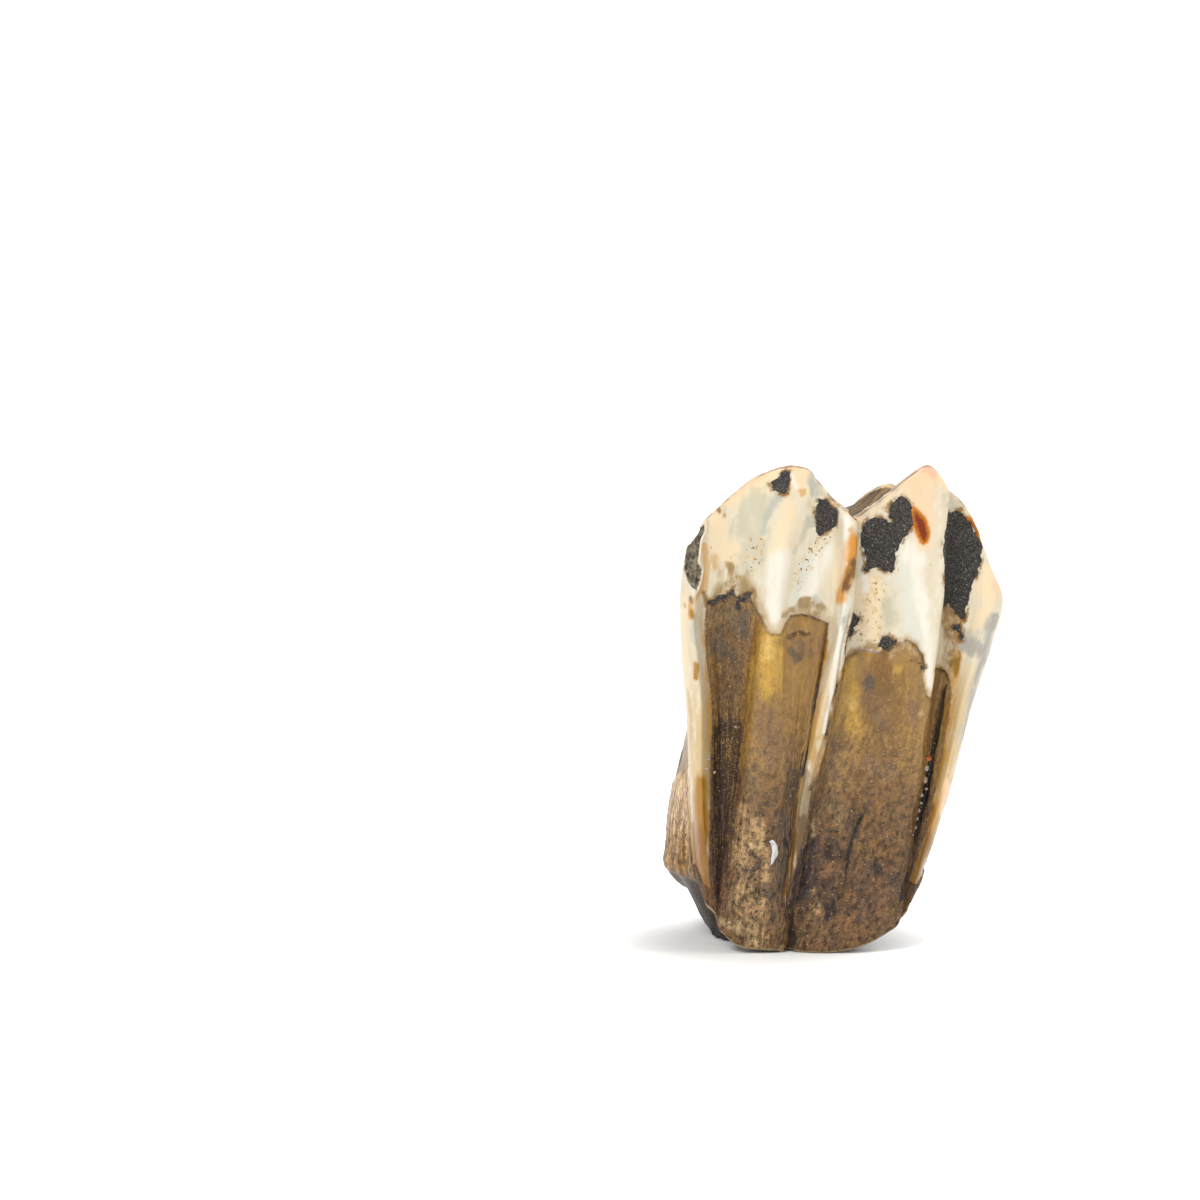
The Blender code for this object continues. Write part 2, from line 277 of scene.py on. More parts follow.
def root_loops(foot):
    """Loops from the wall's foot in under the tooth, innermost first."""
    share = ROOT_RINGS[::-1, None]
    x = foot[None, :, 0] + (ROOT_MIDDLE[0] - foot[None, :, 0]) * share
    y = foot[None, :, 1] + (ROOT_MIDDLE[1] - foot[None, :, 1]) * share
    slope = SLOPE_SHARE + LEFT_SLOPE * smoothstep(-6.0, -13.0, foot[None, :, 0])
    slope = slope + RIGHT_SLOPE * smoothstep(3.0, 8.0, foot[None, :, 0])
    z = foot[None, :, 2] * (1 - smoothstep(0.0, slope, share))
    return np.stack((x, y, z + HOLLOW_DEPTH * smoothstep(HOLLOW_SHARE, 1.0, share)), axis=2)


root = root_loops(wall[0])

# All the loops in one grid, from the middle of the root to the middle of the chewing face.
skin = np.concatenate((root, wall, crown))
x_skin, y_skin, z_skin = skin[:, :, 0], skin[:, :, 1], skin[:, :, 2]
root_rows = slice(0, len(root))
wall_rows = slice(len(root), len(root) + len(wall))
crown_rows = slice(len(root) + len(wall), len(skin))
outer_columns = slice(0, OUTER_STEPS * (len(OUTER_WALL) - 1) + 1)
on_outer = np.zeros(z_skin.shape, dtype=bool)
on_outer[wall_rows, outer_columns] = True

# The same points as if the tooth were a plain post, for noise that runs straight up it.
turn = 2 * math.pi * column_places / girth
grain = np.stack((
    np.broadcast_to(np.cos(turn) * girth / (2 * math.pi), z_skin.shape),
    np.broadcast_to(np.sin(turn) * girth / (2 * math.pi), z_skin.shape),
    z_skin,
), axis=2)

# Cement. This brown bony coat grew over the enamel. It fills the valleys of the outer wall and
# is gone from the ridges, amber and waxy near its torn upper edge and earthy and pitted near
# the root. Its outlines, creases and stains are given across and up the outer wall.
VALLEY_CEMENT = (
    ((-12.4, 34.3), (-11.6, 34.7), (-10.7, 35.1), (-9.9, 35.9), (-9.3, 35.1), (-8.2, 35.7), (-7.9, 34.8),
     (-7.4, 34.0), (-6.8, 32.8), (-6.1, 31.7), (-5.2, 31.6), (-4.7, 32.8), (-4.2, 33.4), (-3.2, 33.6),
     (-2.1, 33.4), (-1.2, 33.0), (-0.5, 32.6), (-0.7, 30.5), (-1.1, 28.0), (-1.6, 25.5), (-1.9, 23.4),
     (-2.2, 21.5), (-2.5, 20.0), (-2.9, 18.2), (-3.2, 16.7), (-3.3, 15.3), (-3.5, 13.3), (-3.7, 11.3),
     (-4.2, 9.2), (-4.6, 7.3), (-4.7, 5.3), (-4.4, 2.7), (-4.2, -2.0), (-14.0, -2.0), (-11.7, 5.3),
     (-12.0, 7.3), (-12.1, 9.3), (-12.1, 11.3), (-12.0, 13.8), (-11.9, 18.2), (-11.8, 22.1), (-11.9, 24.5),
     (-12.1, 26.4), (-12.4, 29.5), (-12.5, 32.1)),
    ((0.9, 28.6), (1.9, 29.7), (2.8, 30.0), (3.8, 30.0), (4.5, 29.8), (5.4, 30.1), (5.8, 30.6), (6.9, 31.1),
     (7.9, 30.6), (8.6, 29.7), (8.8, 28.6), (8.5, 27.8), (8.7, 26.6), (8.9, 25.8), (9.5, 25.1), (9.1, 22.7),
     (8.8, 20.7), (8.7, 19.2), (8.4, 16.7), (7.9, 13.7), (7.4, 10.5), (6.7, 7.3), (6.1, 4.8), (5.6, 3.1),
     (6.0, -2.0), (-4.4, -2.0), (-4.2, 3.2), (-4.5, 5.2), (-3.8, 7.7), (-3.4, 9.1), (-3.0, 10.8),
     (-2.6, 12.8), (-2.3, 14.8), (-2.0, 16.4), (-1.4, 18.4), (-0.9, 20.4), (-0.6, 22.3), (-0.1, 24.1),
     (0.3, 26.7)),
    ((9.9, 28.2), (10.5, 28.2), (11.1, 27.8), (11.6, 26.9), (11.7, 25.7), (11.4, 22.8), (10.8, 19.5),
     (10.2, 16.1), (9.4, 12.2), (8.4, 9.0), (7.7, 7.1), (10.5, 6.6), (9.5, -2.0), (5.6, -2.0), (6.1, 4.8),
     (6.7, 7.3), (7.4, 10.5), (7.9, 13.7), (8.4, 16.7), (8.7, 19.2), (8.8, 20.7), (9.3, 23.6),
     (9.7, 26.1)),
)


def rough(places, size, octaves=3, shift=0.0):
    """Smooth noise from about -1 to 1 at every point, with lumps of the given size or sizes."""
    scaled = (places / np.asarray(size, dtype=float) + shift).reshape(-1, 3)
    values = [noise.fractal(Vector(place), 1.0, 2.0, octaves) for place in scaled]
    return np.array(values).reshape(places.shape[:-1])


edge_wander = rough(skin, 1.6)
cloud_drift = rough(skin, (1.3, 1.3, 2.6), shift=11.0)


def round_wall(heights):
    """How far across the outer wall's columns are at some heights, and how far round it."""
    x, y = columns_at(np.broadcast_to(heights, (len(across), len(heights))))
    x, y = x[outer_columns], y[outer_columns]
    steps = np.hypot(np.diff(x, axis=0), np.diff(y, axis=0))
    return x, np.concatenate((np.zeros((1, len(heights))), np.cumsum(steps, axis=0)))


def on_wall(mark):
    """A mark on the outer wall, given across and up, as its place round the wall and up."""
    x, distance = round_wall([mark[1]])
    return np.interp(mark[0], np.maximum.accumulate(x[:, 0]), distance[:, 0]), mark[1]


heights = np.linspace(-2.0, 49.0, 52)
distances = round_wall(heights)[1]
round_skin = [np.interp(z_skin[wall_rows, i], heights, distances[i]) for i in range(len(distances))]
outer_places = (
    np.stack(round_skin, axis=1).ravel() + 0.08 * edge_wander[on_outer],
    z_skin[on_outer] + 0.1 * cloud_drift[on_outer],
)


def distance_to_run(places, start, end):
    """Distance of places on the outer wall from a straight run, and how far along it they are."""
    run = np.array(end) - np.array(start)
    px, pz = places[0] - start[0], places[1] - start[1]
    along = np.clip((px * run[0] + pz * run[1]) / max(run @ run, 1e-9), 0.0, 1.0)
    return np.hypot(px - along * run[0], pz - along * run[1]), along


def outline_depth(outline):
    """How far inside a closed outline each point of the outer wall is, negative outside."""
    px, pz = outer_places
    outline = [on_wall(mark) for mark in outline]
    inside = np.zeros(px.shape, dtype=bool)
    nearest = np.full(px.shape, 99.0)
    for start, end in zip(outline, outline[1:] + outline[:1]):
        (ax, az), (bx, bz) = start, end
        if az != bz:
            inside ^= ((az > pz) != (bz > pz)) & (px < ax + (pz - az) * (bx - ax) / (bz - az))
        nearest = np.minimum(nearest, distance_to_run(outer_places, start, end)[0])
    depth = np.full(z_skin.shape, -9.0)
    depth[on_outer] = np.where(inside, nearest, -nearest)
    return depth


def deepest(outlines):
    """The depth inside whichever outline each point is deepest in."""
    return np.max([outline_depth(outline) for outline in outlines], axis=0)


def along_lines(lines, places, how_deep, outside):
    """The highest how_deep(distance, half width) over some lines, for every skin point. A line
    has its first and last half width, then its points."""
    depth = np.full(z_skin.shape, outside)
    for first, last, *points in lines:
        points = [on_wall(mark) for mark in points]
        runs = len(points) - 1
        for i in range(runs):
            distance, along = distance_to_run(places, points[i], points[i + 1])
            half = first + (last - first) * (i + along) / runs
            depth[on_outer] = np.maximum(depth[on_outer], how_deep(distance, half))
    return depth


def cloud(lines, wander):
    """1 along each line and fading out past its half width. Wander bends the lines."""
    places = (
        outer_places[0] + 0.6 * wander * cloud_drift[on_outer],
        outer_places[1] + 1.4 * wander * edge_wander[on_outer],
    )
    return along_lines(lines, places, lambda distance, half: np.exp(-((distance / half) ** 2)), 0.0)


def scratch(lines):
    """Depth inside thin sharp lines, in millimetres, negative outside."""
    return along_lines(lines, outer_places, lambda distance, half: half - distance, -9.0)


# Numbers painted on the skin's points, which the finish reads by their names. The cement's own
# is its depth inside its torn edge, and a band of it runs all along the foot.
painted = {}
FOOT_BAND = 2.0
cement_top = round_tooth([ridge[5] for ridge in RIDGES])[None, :]
cement = cement_top - z_skin + 1.4 * edge_wander
cement[root_rows] = 3.0
cement[crown_rows] = -3.0
cement[on_outer] = deepest(VALLEY_CEMENT)[on_outer]
above_foot = z_skin - wall[0, :, 2][None, :]
cement[wall_rows] = np.maximum(cement[wall_rows], FOOT_BAND - above_foot[wall_rows])
painted["cement"] = cement

CREASES = (
    (0.08, 0.31, (-0.5, 32.7), (-1.2, 27.9), (-2.0, 23.4), (-2.6, 19.6), (-3.0, 17.8)),
    (0.10, 0.20, (1.5, 33.9), (0.3, 26.7), (-0.6, 22.3), (-2.1, 16.4)),
    (0.10, 0.09, (9.9, 28.2), (11.0, 27.8), (11.4, 26.8)),
    (0.13, 0.26, (11.2, 26.4), (10.7, 23.4), (10.3, 21.1), (9.8, 19.0)),
    (0.30, 0.20, (9.8, 19.0), (9.2, 15.6), (8.6, 13.3), (8.2, 11.3)),
    (0.18, 0.08, (7.4, 9.1), (7.0, 6.7), (6.6, 4.6)),
    (0.14, 0.19, (3.1, 14.1), (2.5, 13.1), (2.1, 11.9), (1.6, 10.0)),
    (0.17, 0.08, (1.6, 10.0), (1.4, 7.6), (1.1, 6.1)),
    (0.08, 0.09, (-4.5, 33.3), (-3.2, 33.5), (-1.2, 33.0)),
    (0.10, 0.08, (-4.4, 31.5), (-3.3, 31.9), (-2.2, 31.5)),
    (0.07, 0.07, (-10.1, 27.1), (-9.3, 27.2), (-8.4, 27.1)),
    (0.08, 0.11, (6.9, 31.1), (7.9, 30.7), (8.5, 29.8), (8.8, 28.9)),
    (0.08, 0.09, (7.4, 29.1), (8.0, 29.0), (8.6, 28.7)),
)
CHIP = ((-6.2, 11.3), (-5.8, 11.4), (-5.4, 10.8), (-5.3, 10.0), (-5.6, 9.3), (-6.1, 8.8), (-6.0, 9.5),
        (-5.9, 10.2), (-6.0, 10.8))
COAT_THICKNESS = 0.2
FIBRE_RELIEF = 0.05
PIT_RELIEF = 0.16
CHIP_RELIEF = 0.15
CREASE_DEPTH = 0.25
creases = scratch(CREASES)
chip = outline_depth(CHIP)
painted["creases"] = creases
painted["chip"] = chip
coat = smoothstep(-0.15, 0.3, cement)
fibres = rough(grain, (0.5, 0.5, 6.0))
low_down = smoothstep(17.0, 10.0, z_skin)
pitting = smoothstep(0.2, 0.6, rough(grain, (0.4, 0.4, 0.7), shift=7.0)) * low_down
painted["pitting"] = pitting * coat
relief = 0.1 * rough(skin, 5.0, octaves=2) * smoothstep(0.0, 4.0, wall[-1, :, 2][None, :] - z_skin)
growth = rough(grain, (7.0, 7.0, 1.1), 2, shift=13.0)
relief += coat * (COAT_THICKNESS + FIBRE_RELIEF * (fibres + growth) - PIT_RELIEF * pitting)
relief += 0.015 * rough(skin, 0.8)
relief += CHIP_RELIEF * smoothstep(-0.05, 0.1, chip) - CREASE_DEPTH * smoothstep(-0.12, 0.12, creases)

# Past either end of the outer wall, on the sides and the back, the colours run freely.
past_front = np.minimum(column_places - column_places[outer_columns][-1], girth - column_places)
painted["behind"] = np.broadcast_to(smoothstep(0.0, 3.0, past_front), z_skin.shape)

# A pale fibrous plate of the cement lies low on the left side, beside the left style. Its edge
# is counted in ridges round the tooth, and its top slants up away from there.
PLATE_EDGE = 32.9
PLATE_FRONT_TOP = 14.5
PLATE_TOP = 17.5
PLATE_FOOT = 6.2
ridge_count = np.interp(column_places, np.append(ridge_places, girth), np.arange(len(RIDGES) + 1))
past_edge = np.broadcast_to(ridge_count, z_skin.shape) - PLATE_EDGE
plate_top = np.minimum(PLATE_TOP, PLATE_FRONT_TOP + past_edge * 3)
plate = np.minimum(np.minimum(plate_top - z_skin, z_skin - PLATE_FOOT) * 0.5, past_edge * 2.0)
plate += 0.5 * edge_wander
plate[root_rows] = -2.0
plate[crown_rows] = -2.0
painted["plate"] = plate
relief += smoothstep(-0.2, 0.2, plate) * (0.15 + 0.2 * rough(grain, (0.5, 0.5, 9.0), 2, shift=5.0))

# The right style juts out to an angular corner some way below the rim.
CORNER_HEIGHT = 34.8
CORNER_REACH = 3.4
CORNER_WIDTH = 1.2
CORNER_RELIEF = 0.35
past_corner = column_places - column_places[outer_columns][-1]
corner = np.maximum(0.0, 1 - np.abs(z_skin - CORNER_HEIGHT) / CORNER_REACH)
corner = corner * np.exp(-((past_corner / CORNER_WIDTH) ** 2))
relief[wall_rows] += CORNER_RELIEF * corner[wall_rows]

# The foot of the outer wall has a pale lip, and under it the root is painted black as shade.
painted["above_foot"] = np.where(on_outer, above_foot, 9.0)
painted_root_shade = np.full(z_skin.shape, -2.0)
painted_root_shade[root_rows] = np.linspace(8.0, 0.3, len(root))[:, None]
painted["painted_root_shade"] = painted_root_shade


class Socket:
    """A number, colour or shader in the finish. Arithmetic on it adds Math nodes."""

    def __init__(self, finish, link):
        self.finish = finish
        self.link = link

    def math(self, operation, first, second):
        return self.finish.add("ShaderNodeMath", {"operation": operation}, {0: first, 1: second})

    def __add__(self, other):
        return self.math("ADD", self, other)

    def __sub__(self, other):
        return self.math("SUBTRACT", self, other)

    def __rsub__(self, other):
        return self.math("SUBTRACT", other, self)

    def __mul__(self, other):
        return self.math("MULTIPLY", self, other)

    __radd__ = __add__
    __rmul__ = __mul__


class Finish:
    """A material that is written as a list of nodes."""

    def __init__(self, name):
        self.material = bpy.data.materials.new(name)
        self.material.use_nodes = True
        self.tree = self.material.node_tree
        self.tree.nodes.clear()

    def add(self, kind, settings=None, sockets=None, output=0):
        """Adds a node, sets its settings, then its sockets, and returns one output."""
        node = self.tree.nodes.new(kind)
        for name, value in (settings or {}).items():
            setattr(node, name, value)
        for name, value in (sockets or {}).items():
            if isinstance(value, Socket):
                self.tree.links.new(value.link, node.inputs[name])
            else:
                node.inputs[name].default_value = value
        return Socket(self, node.outputs[output]) if node.outputs else None

    def value(self, name):
        """A number stored on the mesh."""
        return self.add("ShaderNodeAttribute", {"attribute_name": name}, output="Fac")

    def stretched(self, vector, scale):
        """A vector times a scale along each axis."""
        return self.add("ShaderNodeVectorMath", {"operation": "MULTIPLY"}, {0: vector, 1: scale})

    def noise(self, vector, scale, detail=3.0, rough=0.5):
        """Noise from 0 to 1 at a vector in millimetres."""
        sockets = {"Vector": vector, "Scale": scale, "Detail": detail, "Roughness": rough}
        return self.add("ShaderNodeTexNoise", None, sockets, output="Fac")

    def step(self, value, low, high):
        """0 below low, 1 above high, and a soft ramp between them."""
        sockets = {"Value": value, "From Min": low, "From Max": high}
        return self.add("ShaderNodeMapRange", {"interpolation_type": "SMOOTHSTEP"}, sockets)

    def blend(self, share, first, second, kind="MIX"):
        """The first colour where share is 0, the second where it is 1."""
        settings = {"data_type": "RGBA", "blend_type": kind}
        return self.add("ShaderNodeMix", settings, {0: share, 6: first, 7: second}, output=2)

    def bump(self, height, distance):
        """A bumped normal, from a height of 1 at the given distance in millimetres."""
        return self.add("ShaderNodeBump", None, {"Height": height, "Distance": distance * MM})

    def mix_shader(self, share, first, second):
        """The first shader where share is 0, the second where it is 1."""
        return self.add("ShaderNodeMixShader", None, {0: share, 1: first, 2: second})


# The studio's light and the gloss of the surface add to a colour, so less goes into the surface.
SURFACE_SHARE = 0.6
SHEEN = 0.024


def srgb(red, green, blue):
    """A colour given as the bright studio shows it, as the surface's own colour."""
    parts = [part / 255 for part in (red, green, blue)]
    linear = [p / 12.92 if p <= 0.04045 else ((p + 0.055) / 1.055) ** 2.4 for p in parts]
    return (*[SURFACE_SHARE * max(p - SHEEN, 0.003) for p in linear], 1.0)


finish = Finish("fossil_tooth")
place = finish.add("ShaderNodeTexCoord", output="Object")
place = finish.stretched(place, (1 / MM, 1 / MM, 1 / MM))
flow = finish.add("ShaderNodeAttribute", {"attribute_name": "grain"}, output="Vector")
fine = finish.noise(place, 3.0)
medium = finish.noise(place, 0.8)
broad = finish.noise(place, 0.25)
grit_noise = finish.noise(place, 5.5, detail=4.0, rough=0.65)
streaks = finish.noise(finish.stretched(flow, (1.0, 1.0, 0.12)), 2.2, detail=5.0)
mottling = finish.step(streaks * 0.4 + medium * 0.2 + grit_noise * 0.4, 0.38, 0.62)
height_up = finish.add("ShaderNodeSeparateXYZ", None, {"Vector": place}, output="Z")


def stain(colour, name, tint, strength, lines, wander, mottle):
    """Lays a tint over a colour along some lines, which wander and have mottled edges."""
    painted[name] = cloud(lines, wander)
    broken_up = finish.value(name) * (1 - mottle + mottling * (2 * mottle))
    return finish.blend(finish.step(broken_up, 0.08, 0.95) * strength, colour, tint)


def cement_shader():
    """Brown cement with its zones, fibres and black pits, some painted highlights and glints, and a painted
    shadow under the root.
    """
    drift = height_up + (medium - 0.5) * 4 + (broad - 0.5) * 4
    colour = finish.blend(finish.step(drift, 19.5, 14.5), srgb(150, 117, 70), srgb(120, 92, 64))
    colour = finish.blend(finish.step(drift, 11.5, 8.0), colour, srgb(108, 82, 60))
    colour = finish.blend(finish.step(drift, 6.0, 2.0), colour, srgb(126, 97, 66))
    colour = finish.blend(finish.step(streaks, 0.5, 0.75) * 0.4, colour, srgb(106, 80, 54))
    behind = finish.value("behind")
    zones = finish.noise(finish.stretched(flow, (1.0, 1.0, 0.45)), 0.2, detail=5.0, rough=0.6)
    patches = finish.noise(finish.stretched(flow, (1.0, 1.0, 0.7)), 0.33, detail=5.0, rough=0.65)
    golden = finish.step(zones, 0.5, 0.64) * finish.step(height_up, 12.0, 20.0) * behind
    colour = finish.blend(golden * 0.8, colour, srgb(188, 146, 76))
    colour = finish.blend(finish.step(zones, 0.48, 0.36) * behind * 0.8, colour, srgb(92, 72, 52))
    sandy = finish.step(patches, 0.5, 0.62) * finish.step(height_up, 16.0, 9.0) * behind
    colour = finish.blend(sandy * 0.8, colour, srgb(168, 138, 98))
    smoky = finish.step(patches, 0.43, 0.33) * behind
    colour = finish.blend(smoky * 0.75, colour, srgb(72, 62, 52))
    colour = stain(colour, "ochre_clay", srgb(164, 128, 72), 0.85, (
        (1.26, 1.26, (6.5, 28.7), (6.6, 25.2)),
        (1.16, 0.97, (5.8, 23.8), (7.1, 22.5)),
        (1.55, 1.36, (4.6, 21.8), (3.4, 21.0)),
        (0.78, 0.78, (-2.4, 32.5), (-3.2, 32.7)),
        (1.07, 1.07, (-3.2, 27.8), (-3.4, 25.1)),
    ), wander=0.6, mottle=0.75)
    # Yellow and glow: partly the cement's own amber and partly painted highlights on the left rib and the
    # right lobe.
    colour = stain(colour, "yellow", srgb(194, 154, 72), 0.9, (
        (1.36, 1.55, (-6.1, 31.7), (-6.1, 29.6), (-6.2, 26.9)),
        (0.58, 0.48, (-7.7, 28.6), (-8.1, 25.1)),
        (0.97, 1.55, (1.5, 28.2), (1.9, 26.0), (1.7, 24.2), (1.9, 22.9)),
        (0.68, 0.78, (6.3, 28.3), (6.6, 26.4)),
    ), wander=0.4, mottle=0.6)
    colour = stain(colour, "glow", srgb(214, 176, 100), 0.75, (
        (0.68, 0.68, (-6.3, 30.9), (-6.3, 29.7)),
        (0.39, 0.39, (3.4, 29.3), (3.5, 29.1)),
        (0.58, 0.58, (1.6, 25.0), (1.9, 24.5)),
    ), wander=0.2, mottle=0.6)
    colour = stain(colour, "amber", srgb(148, 104, 48), 0.7, (
        (0.34, 0.39, (-7.3, 32.3), (-7.8, 29.9), (-8.1, 27.0), (-8.4, 23.6), (-8.8, 20.6)),
        (0.48, 0.39, (5.3, 29.9), (5.5, 27.9), (5.6, 26.2)),
        (0.24, 0.19, (-4.7, 31.0), (-4.8, 28.9), (-4.9, 26.1)),
        (0.29, 0.24, (-1.1, 31.7), (-1.3, 29.0), (-1.6, 26.1), (-2.0, 23.6)),
        (0.39, 0.39, (2.6, 30.0), (4.5, 28.3)),
        (0.29, 0.29, (2.3, 29.4), (2.5, 29.4)),
        (0.34, 0.29, (11.7, 27.0), (11.5, 24.8), (11.2, 22.3)),
    ), wander=0.3, mottle=0.8)
    colour = stain(colour, "dusk", srgb(118, 88, 54), 0.8, (
        (2.52, 2.91, (5.3, 26.7), (5.0, 21.2), (4.8, 15.4), (4.1, 10.4)),
        (1.74, 2.13, (5.2, 17.8), (4.6, 13.4)),
        (1.16, 1.36, (0.6, 15.2), (0.2, 10.3)),
    ), wander=1.0, mottle=0.85)
    colour = stain(colour, "drab", srgb(128, 100, 74), 0.85, (
        (1.45, 1.36, (-6.3, 22.4), (-6.1, 19.3)),
        (0.87, 0.87, (-4.0, 21.0), (-4.4, 18.4)),
        (0.78, 0.68, (-3.5, 30.6), (-2.0, 30.0)),
        (0.78, 0.58, (3.6, 24.9), (4.9, 23.4)),
        (0.78, 0.68, (3.4, 26.9), (3.9, 26.7)),
        (0.58, 0.58, (7.8, 26.2), (7.5, 23.3)),
        (0.58, 0.58, (0.4, 20.6), (0.1, 18.1)),
        (0.48, 0.48, (10.3, 27.3), (9.8, 25.0)),
        (0.68, 0.48, (9.5, 24.6), (9.3, 20.6)),
        (0.68, 0.78, (2.1, 18.7), (5.5, 18.5)),
    ), wander=0.8, mottle=0.85)
    colour = stain(colour, "sand", srgb(176, 143, 100), 0.9, (
        (1.45, 2.03, (-8.6, 13.5), (-8.1, 10.9), (-7.7, 8.6)),
        (2.03, 1.45, (-8.0, 5.4), (-7.4, 2.0)),
        (0.58, 0.58, (-6.2, 9.1), (-6.2, 10.3)),
        (0.48, 0.58, (-1.5, 5.7), (-1.7, 3.9)),
        (0.29, 0.29, (-2.0, 13.0), (-1.7, 11.6)),
    ), wander=0.8, mottle=0.85)
    colour = stain(colour, "pale", srgb(186, 160, 118), 0.7, (
        (0.34, 0.29, (-10.8, 3.1), (-9.2, 2.4), (-7.8, 1.4), (-6.2, 0.7), (-4.7, 0.5)),
        (0.39, 0.48, (-9.1, 3.2), (-7.8, 2.2)),
        (0.48, 0.39, (5.8, 29.9), (6.8, 30.4), (7.8, 29.9)),
        (0.48, 0.48, (11.1, 33.8), (11.5, 32.0), (11.6, 29.9)),
        (0.29, 0.29, (8.5, 28.0), (8.9, 25.8)),
        (0.29, 0.29, (8.4, 24.0), (8.6, 23.7)),
        (0.19, 0.19, (-1.9, 13.0), (-1.8, 12.0)),
        (0.29, 0.29, (-8.1, 10.7), (-6.8, 10.9)),
    ), wander=0.3, mottle=0.85)
    colour = stain(colour, "russet", srgb(136, 98, 66), 0.5, (
        (0.39, 0.34, (-3.5, 9.1), (-4.1, 7.2)),
        (0.87, 0.78, (-10.2, 9.0), (-10.4, 6.1)),
        (0.48, 0.48, (-12.3, 8.5), (-12.0, 4.9)),
        (0.58, 0.58, (-1.3, 8.8), (0.0, 8.3)),
        (0.58, 0.48, (-2.4, 1.0), (-0.3, 0.7)),
        (0.97, 0.87, (1.8, 5.4), (2.0, 2.6)),
        (0.87, 0.78, (4.7, 6.0), (4.4, 4.2)),
        (0.58, 0.48, (-8.7, 29.1), (-8.5, 25.8)),
        (0.48, 0.48, (-11.4, 28.1), (-11.3, 24.9)),
        (0.78, 0.78, (3.7, 16.3), (4.2, 14.8)),
        (0.68, 0.58, (0.9, 2.3), (3.8, 2.4)),
    ), wander=0.5, mottle=0.85)
    colour = stain(colour, "umber", srgb(104, 80, 54), 0.95, (
        (3.29, 2.52, (-10.1, 34.2), (-10.2, 30.8), (-10.2, 26.9), (-10.3, 22.7)),
        (0.48, 0.48, (-11.4, 22.4), (-11.6, 15.1)),
        (0.48, 0.48, (-9.2, 22.4), (-9.5, 17.1)),
        (0.87, 0.48, (-8.5, 33.8), (-8.0, 30.9)),
        (1.16, 0.97, (-3.0, 4.7), (-2.9, 2.0)),
        (0.87, 0.87, (0.2, 11.1), (0.8, 9.5)),
        (0.48, 0.39, (10.7, 25.7), (10.2, 22.4), (9.8, 19.8)),
        (0.39, 0.39, (2.5, 15.3), (2.3, 13.1)),
        (0.48, 0.48, (1.1, 7.3), (0.6, 4.2)),
        (0.24, 0.19, (-4.4, 31.4), (-3.4, 31.7), (-2.4, 31.6)),
        (0.19, 0.19, (7.5, 4.2), (6.4, 3.0)),
        (0.29, 0.29, (-2.0, 16.4), (-2.5, 12.0)),
        (0.48, 0.58, (-3.5, 17.6), (-4.1, 15.2)),
    ), wander=0.25, mottle=0.8)
    colour = stain(colour, "olive", srgb(122, 101, 70), 0.8, (
        (1.16, 1.07, (-11.9, 33.4), (-10.4, 33.7), (-8.7, 33.0)),
        (0.87, 0.87, (-7.9, 18.3), (-8.3, 16.7)),
        (0.87, 0.78, (0.3, 15.4), (0.6, 13.0)),
        (0.39, 0.39, (-9.4, 34.8), (-9.0, 33.6)),
        (0.39, 0.39, (-0.9, 21.3), (-1.6, 16.2)),
    ), wander=0.6, mottle=0.85)
    colour = stain(colour, "grey", srgb(90, 80, 68), 0.8, (
        (0.87, 0.78, (-11.4, 31.0), (-11.1, 29.7)),
        (0.68, 0.58, (-8.8, 33.0), (-8.5, 31.3)),
        (0.58, 0.48, (-9.7, 29.6), (-9.3, 28.7)),
        (0.48, 0.39, (-4.4, 29.6), (-3.4, 29.3)),
        (0.78, 0.87, (-4.7, 13.4), (-4.5, 10.7)),
        (0.78, 0.68, (-5.1, 9.3), (-5.1, 7.3)),
        (0.48, 0.48, (-6.5, 6.9), (-6.0, 6.0)),
        (0.48, 0.44, (-8.4, 8.6), (-7.9, 8.2)),
        (0.25, 0.25, (-9.7, 6.9), (-9.4, 6.9)),
        (0.31, 0.31, (-5.9, 3.5), (-5.6, 3.4)),
        (0.39, 0.39, (3.4, 26.9), (3.8, 26.7)),
        (0.58, 0.58, (-3.8, 18.4), (-4.3, 16.4)),
    ), wander=0.6, mottle=0.8)
    colour = stain(colour, "mauve", srgb(92, 74, 66), 0.75, (
        (0.87, 0.87, (-0.2, 11.4), (0.6, 10.3)),
        (0.39, 0.39, (3.3, 9.4), (3.5, 8.1)),
        (0.34, 0.29, (2.8, 4.9), (2.9, 3.4)),
        (0.29, 0.24, (3.9, 4.8), (3.8, 3.6)),
        (0.34, 0.34, (-0.2, 6.8), (0.0, 6.4)),
        (0.29, 0.29, (5.9, 7.9), (5.7, 6.6)),
        (0.48, 0.48, (-0.3, 2.8), (0.3, 1.4)),
        (0.39, 0.39, (2.0, 14.1), (1.6, 12.3)),
    ), wander=0.6, mottle=0.8)
    colour = stain(colour, "peat", srgb(64, 52, 39), 0.97, (
        (2.13, 2.33, (-10.4, 21.4), (-10.5, 20.0), (-10.6, 17.5)),
        (2.33, 1.84, (-10.6, 17.5), (-10.7, 13.6)),
        (1.84, 1.36, (-10.8, 13.5), (-11.0, 9.3)),
        (1.07, 0.48, (-11.1, 9.3), (-11.2, 4.7)),
    ), wander=0.6, mottle=0.85)
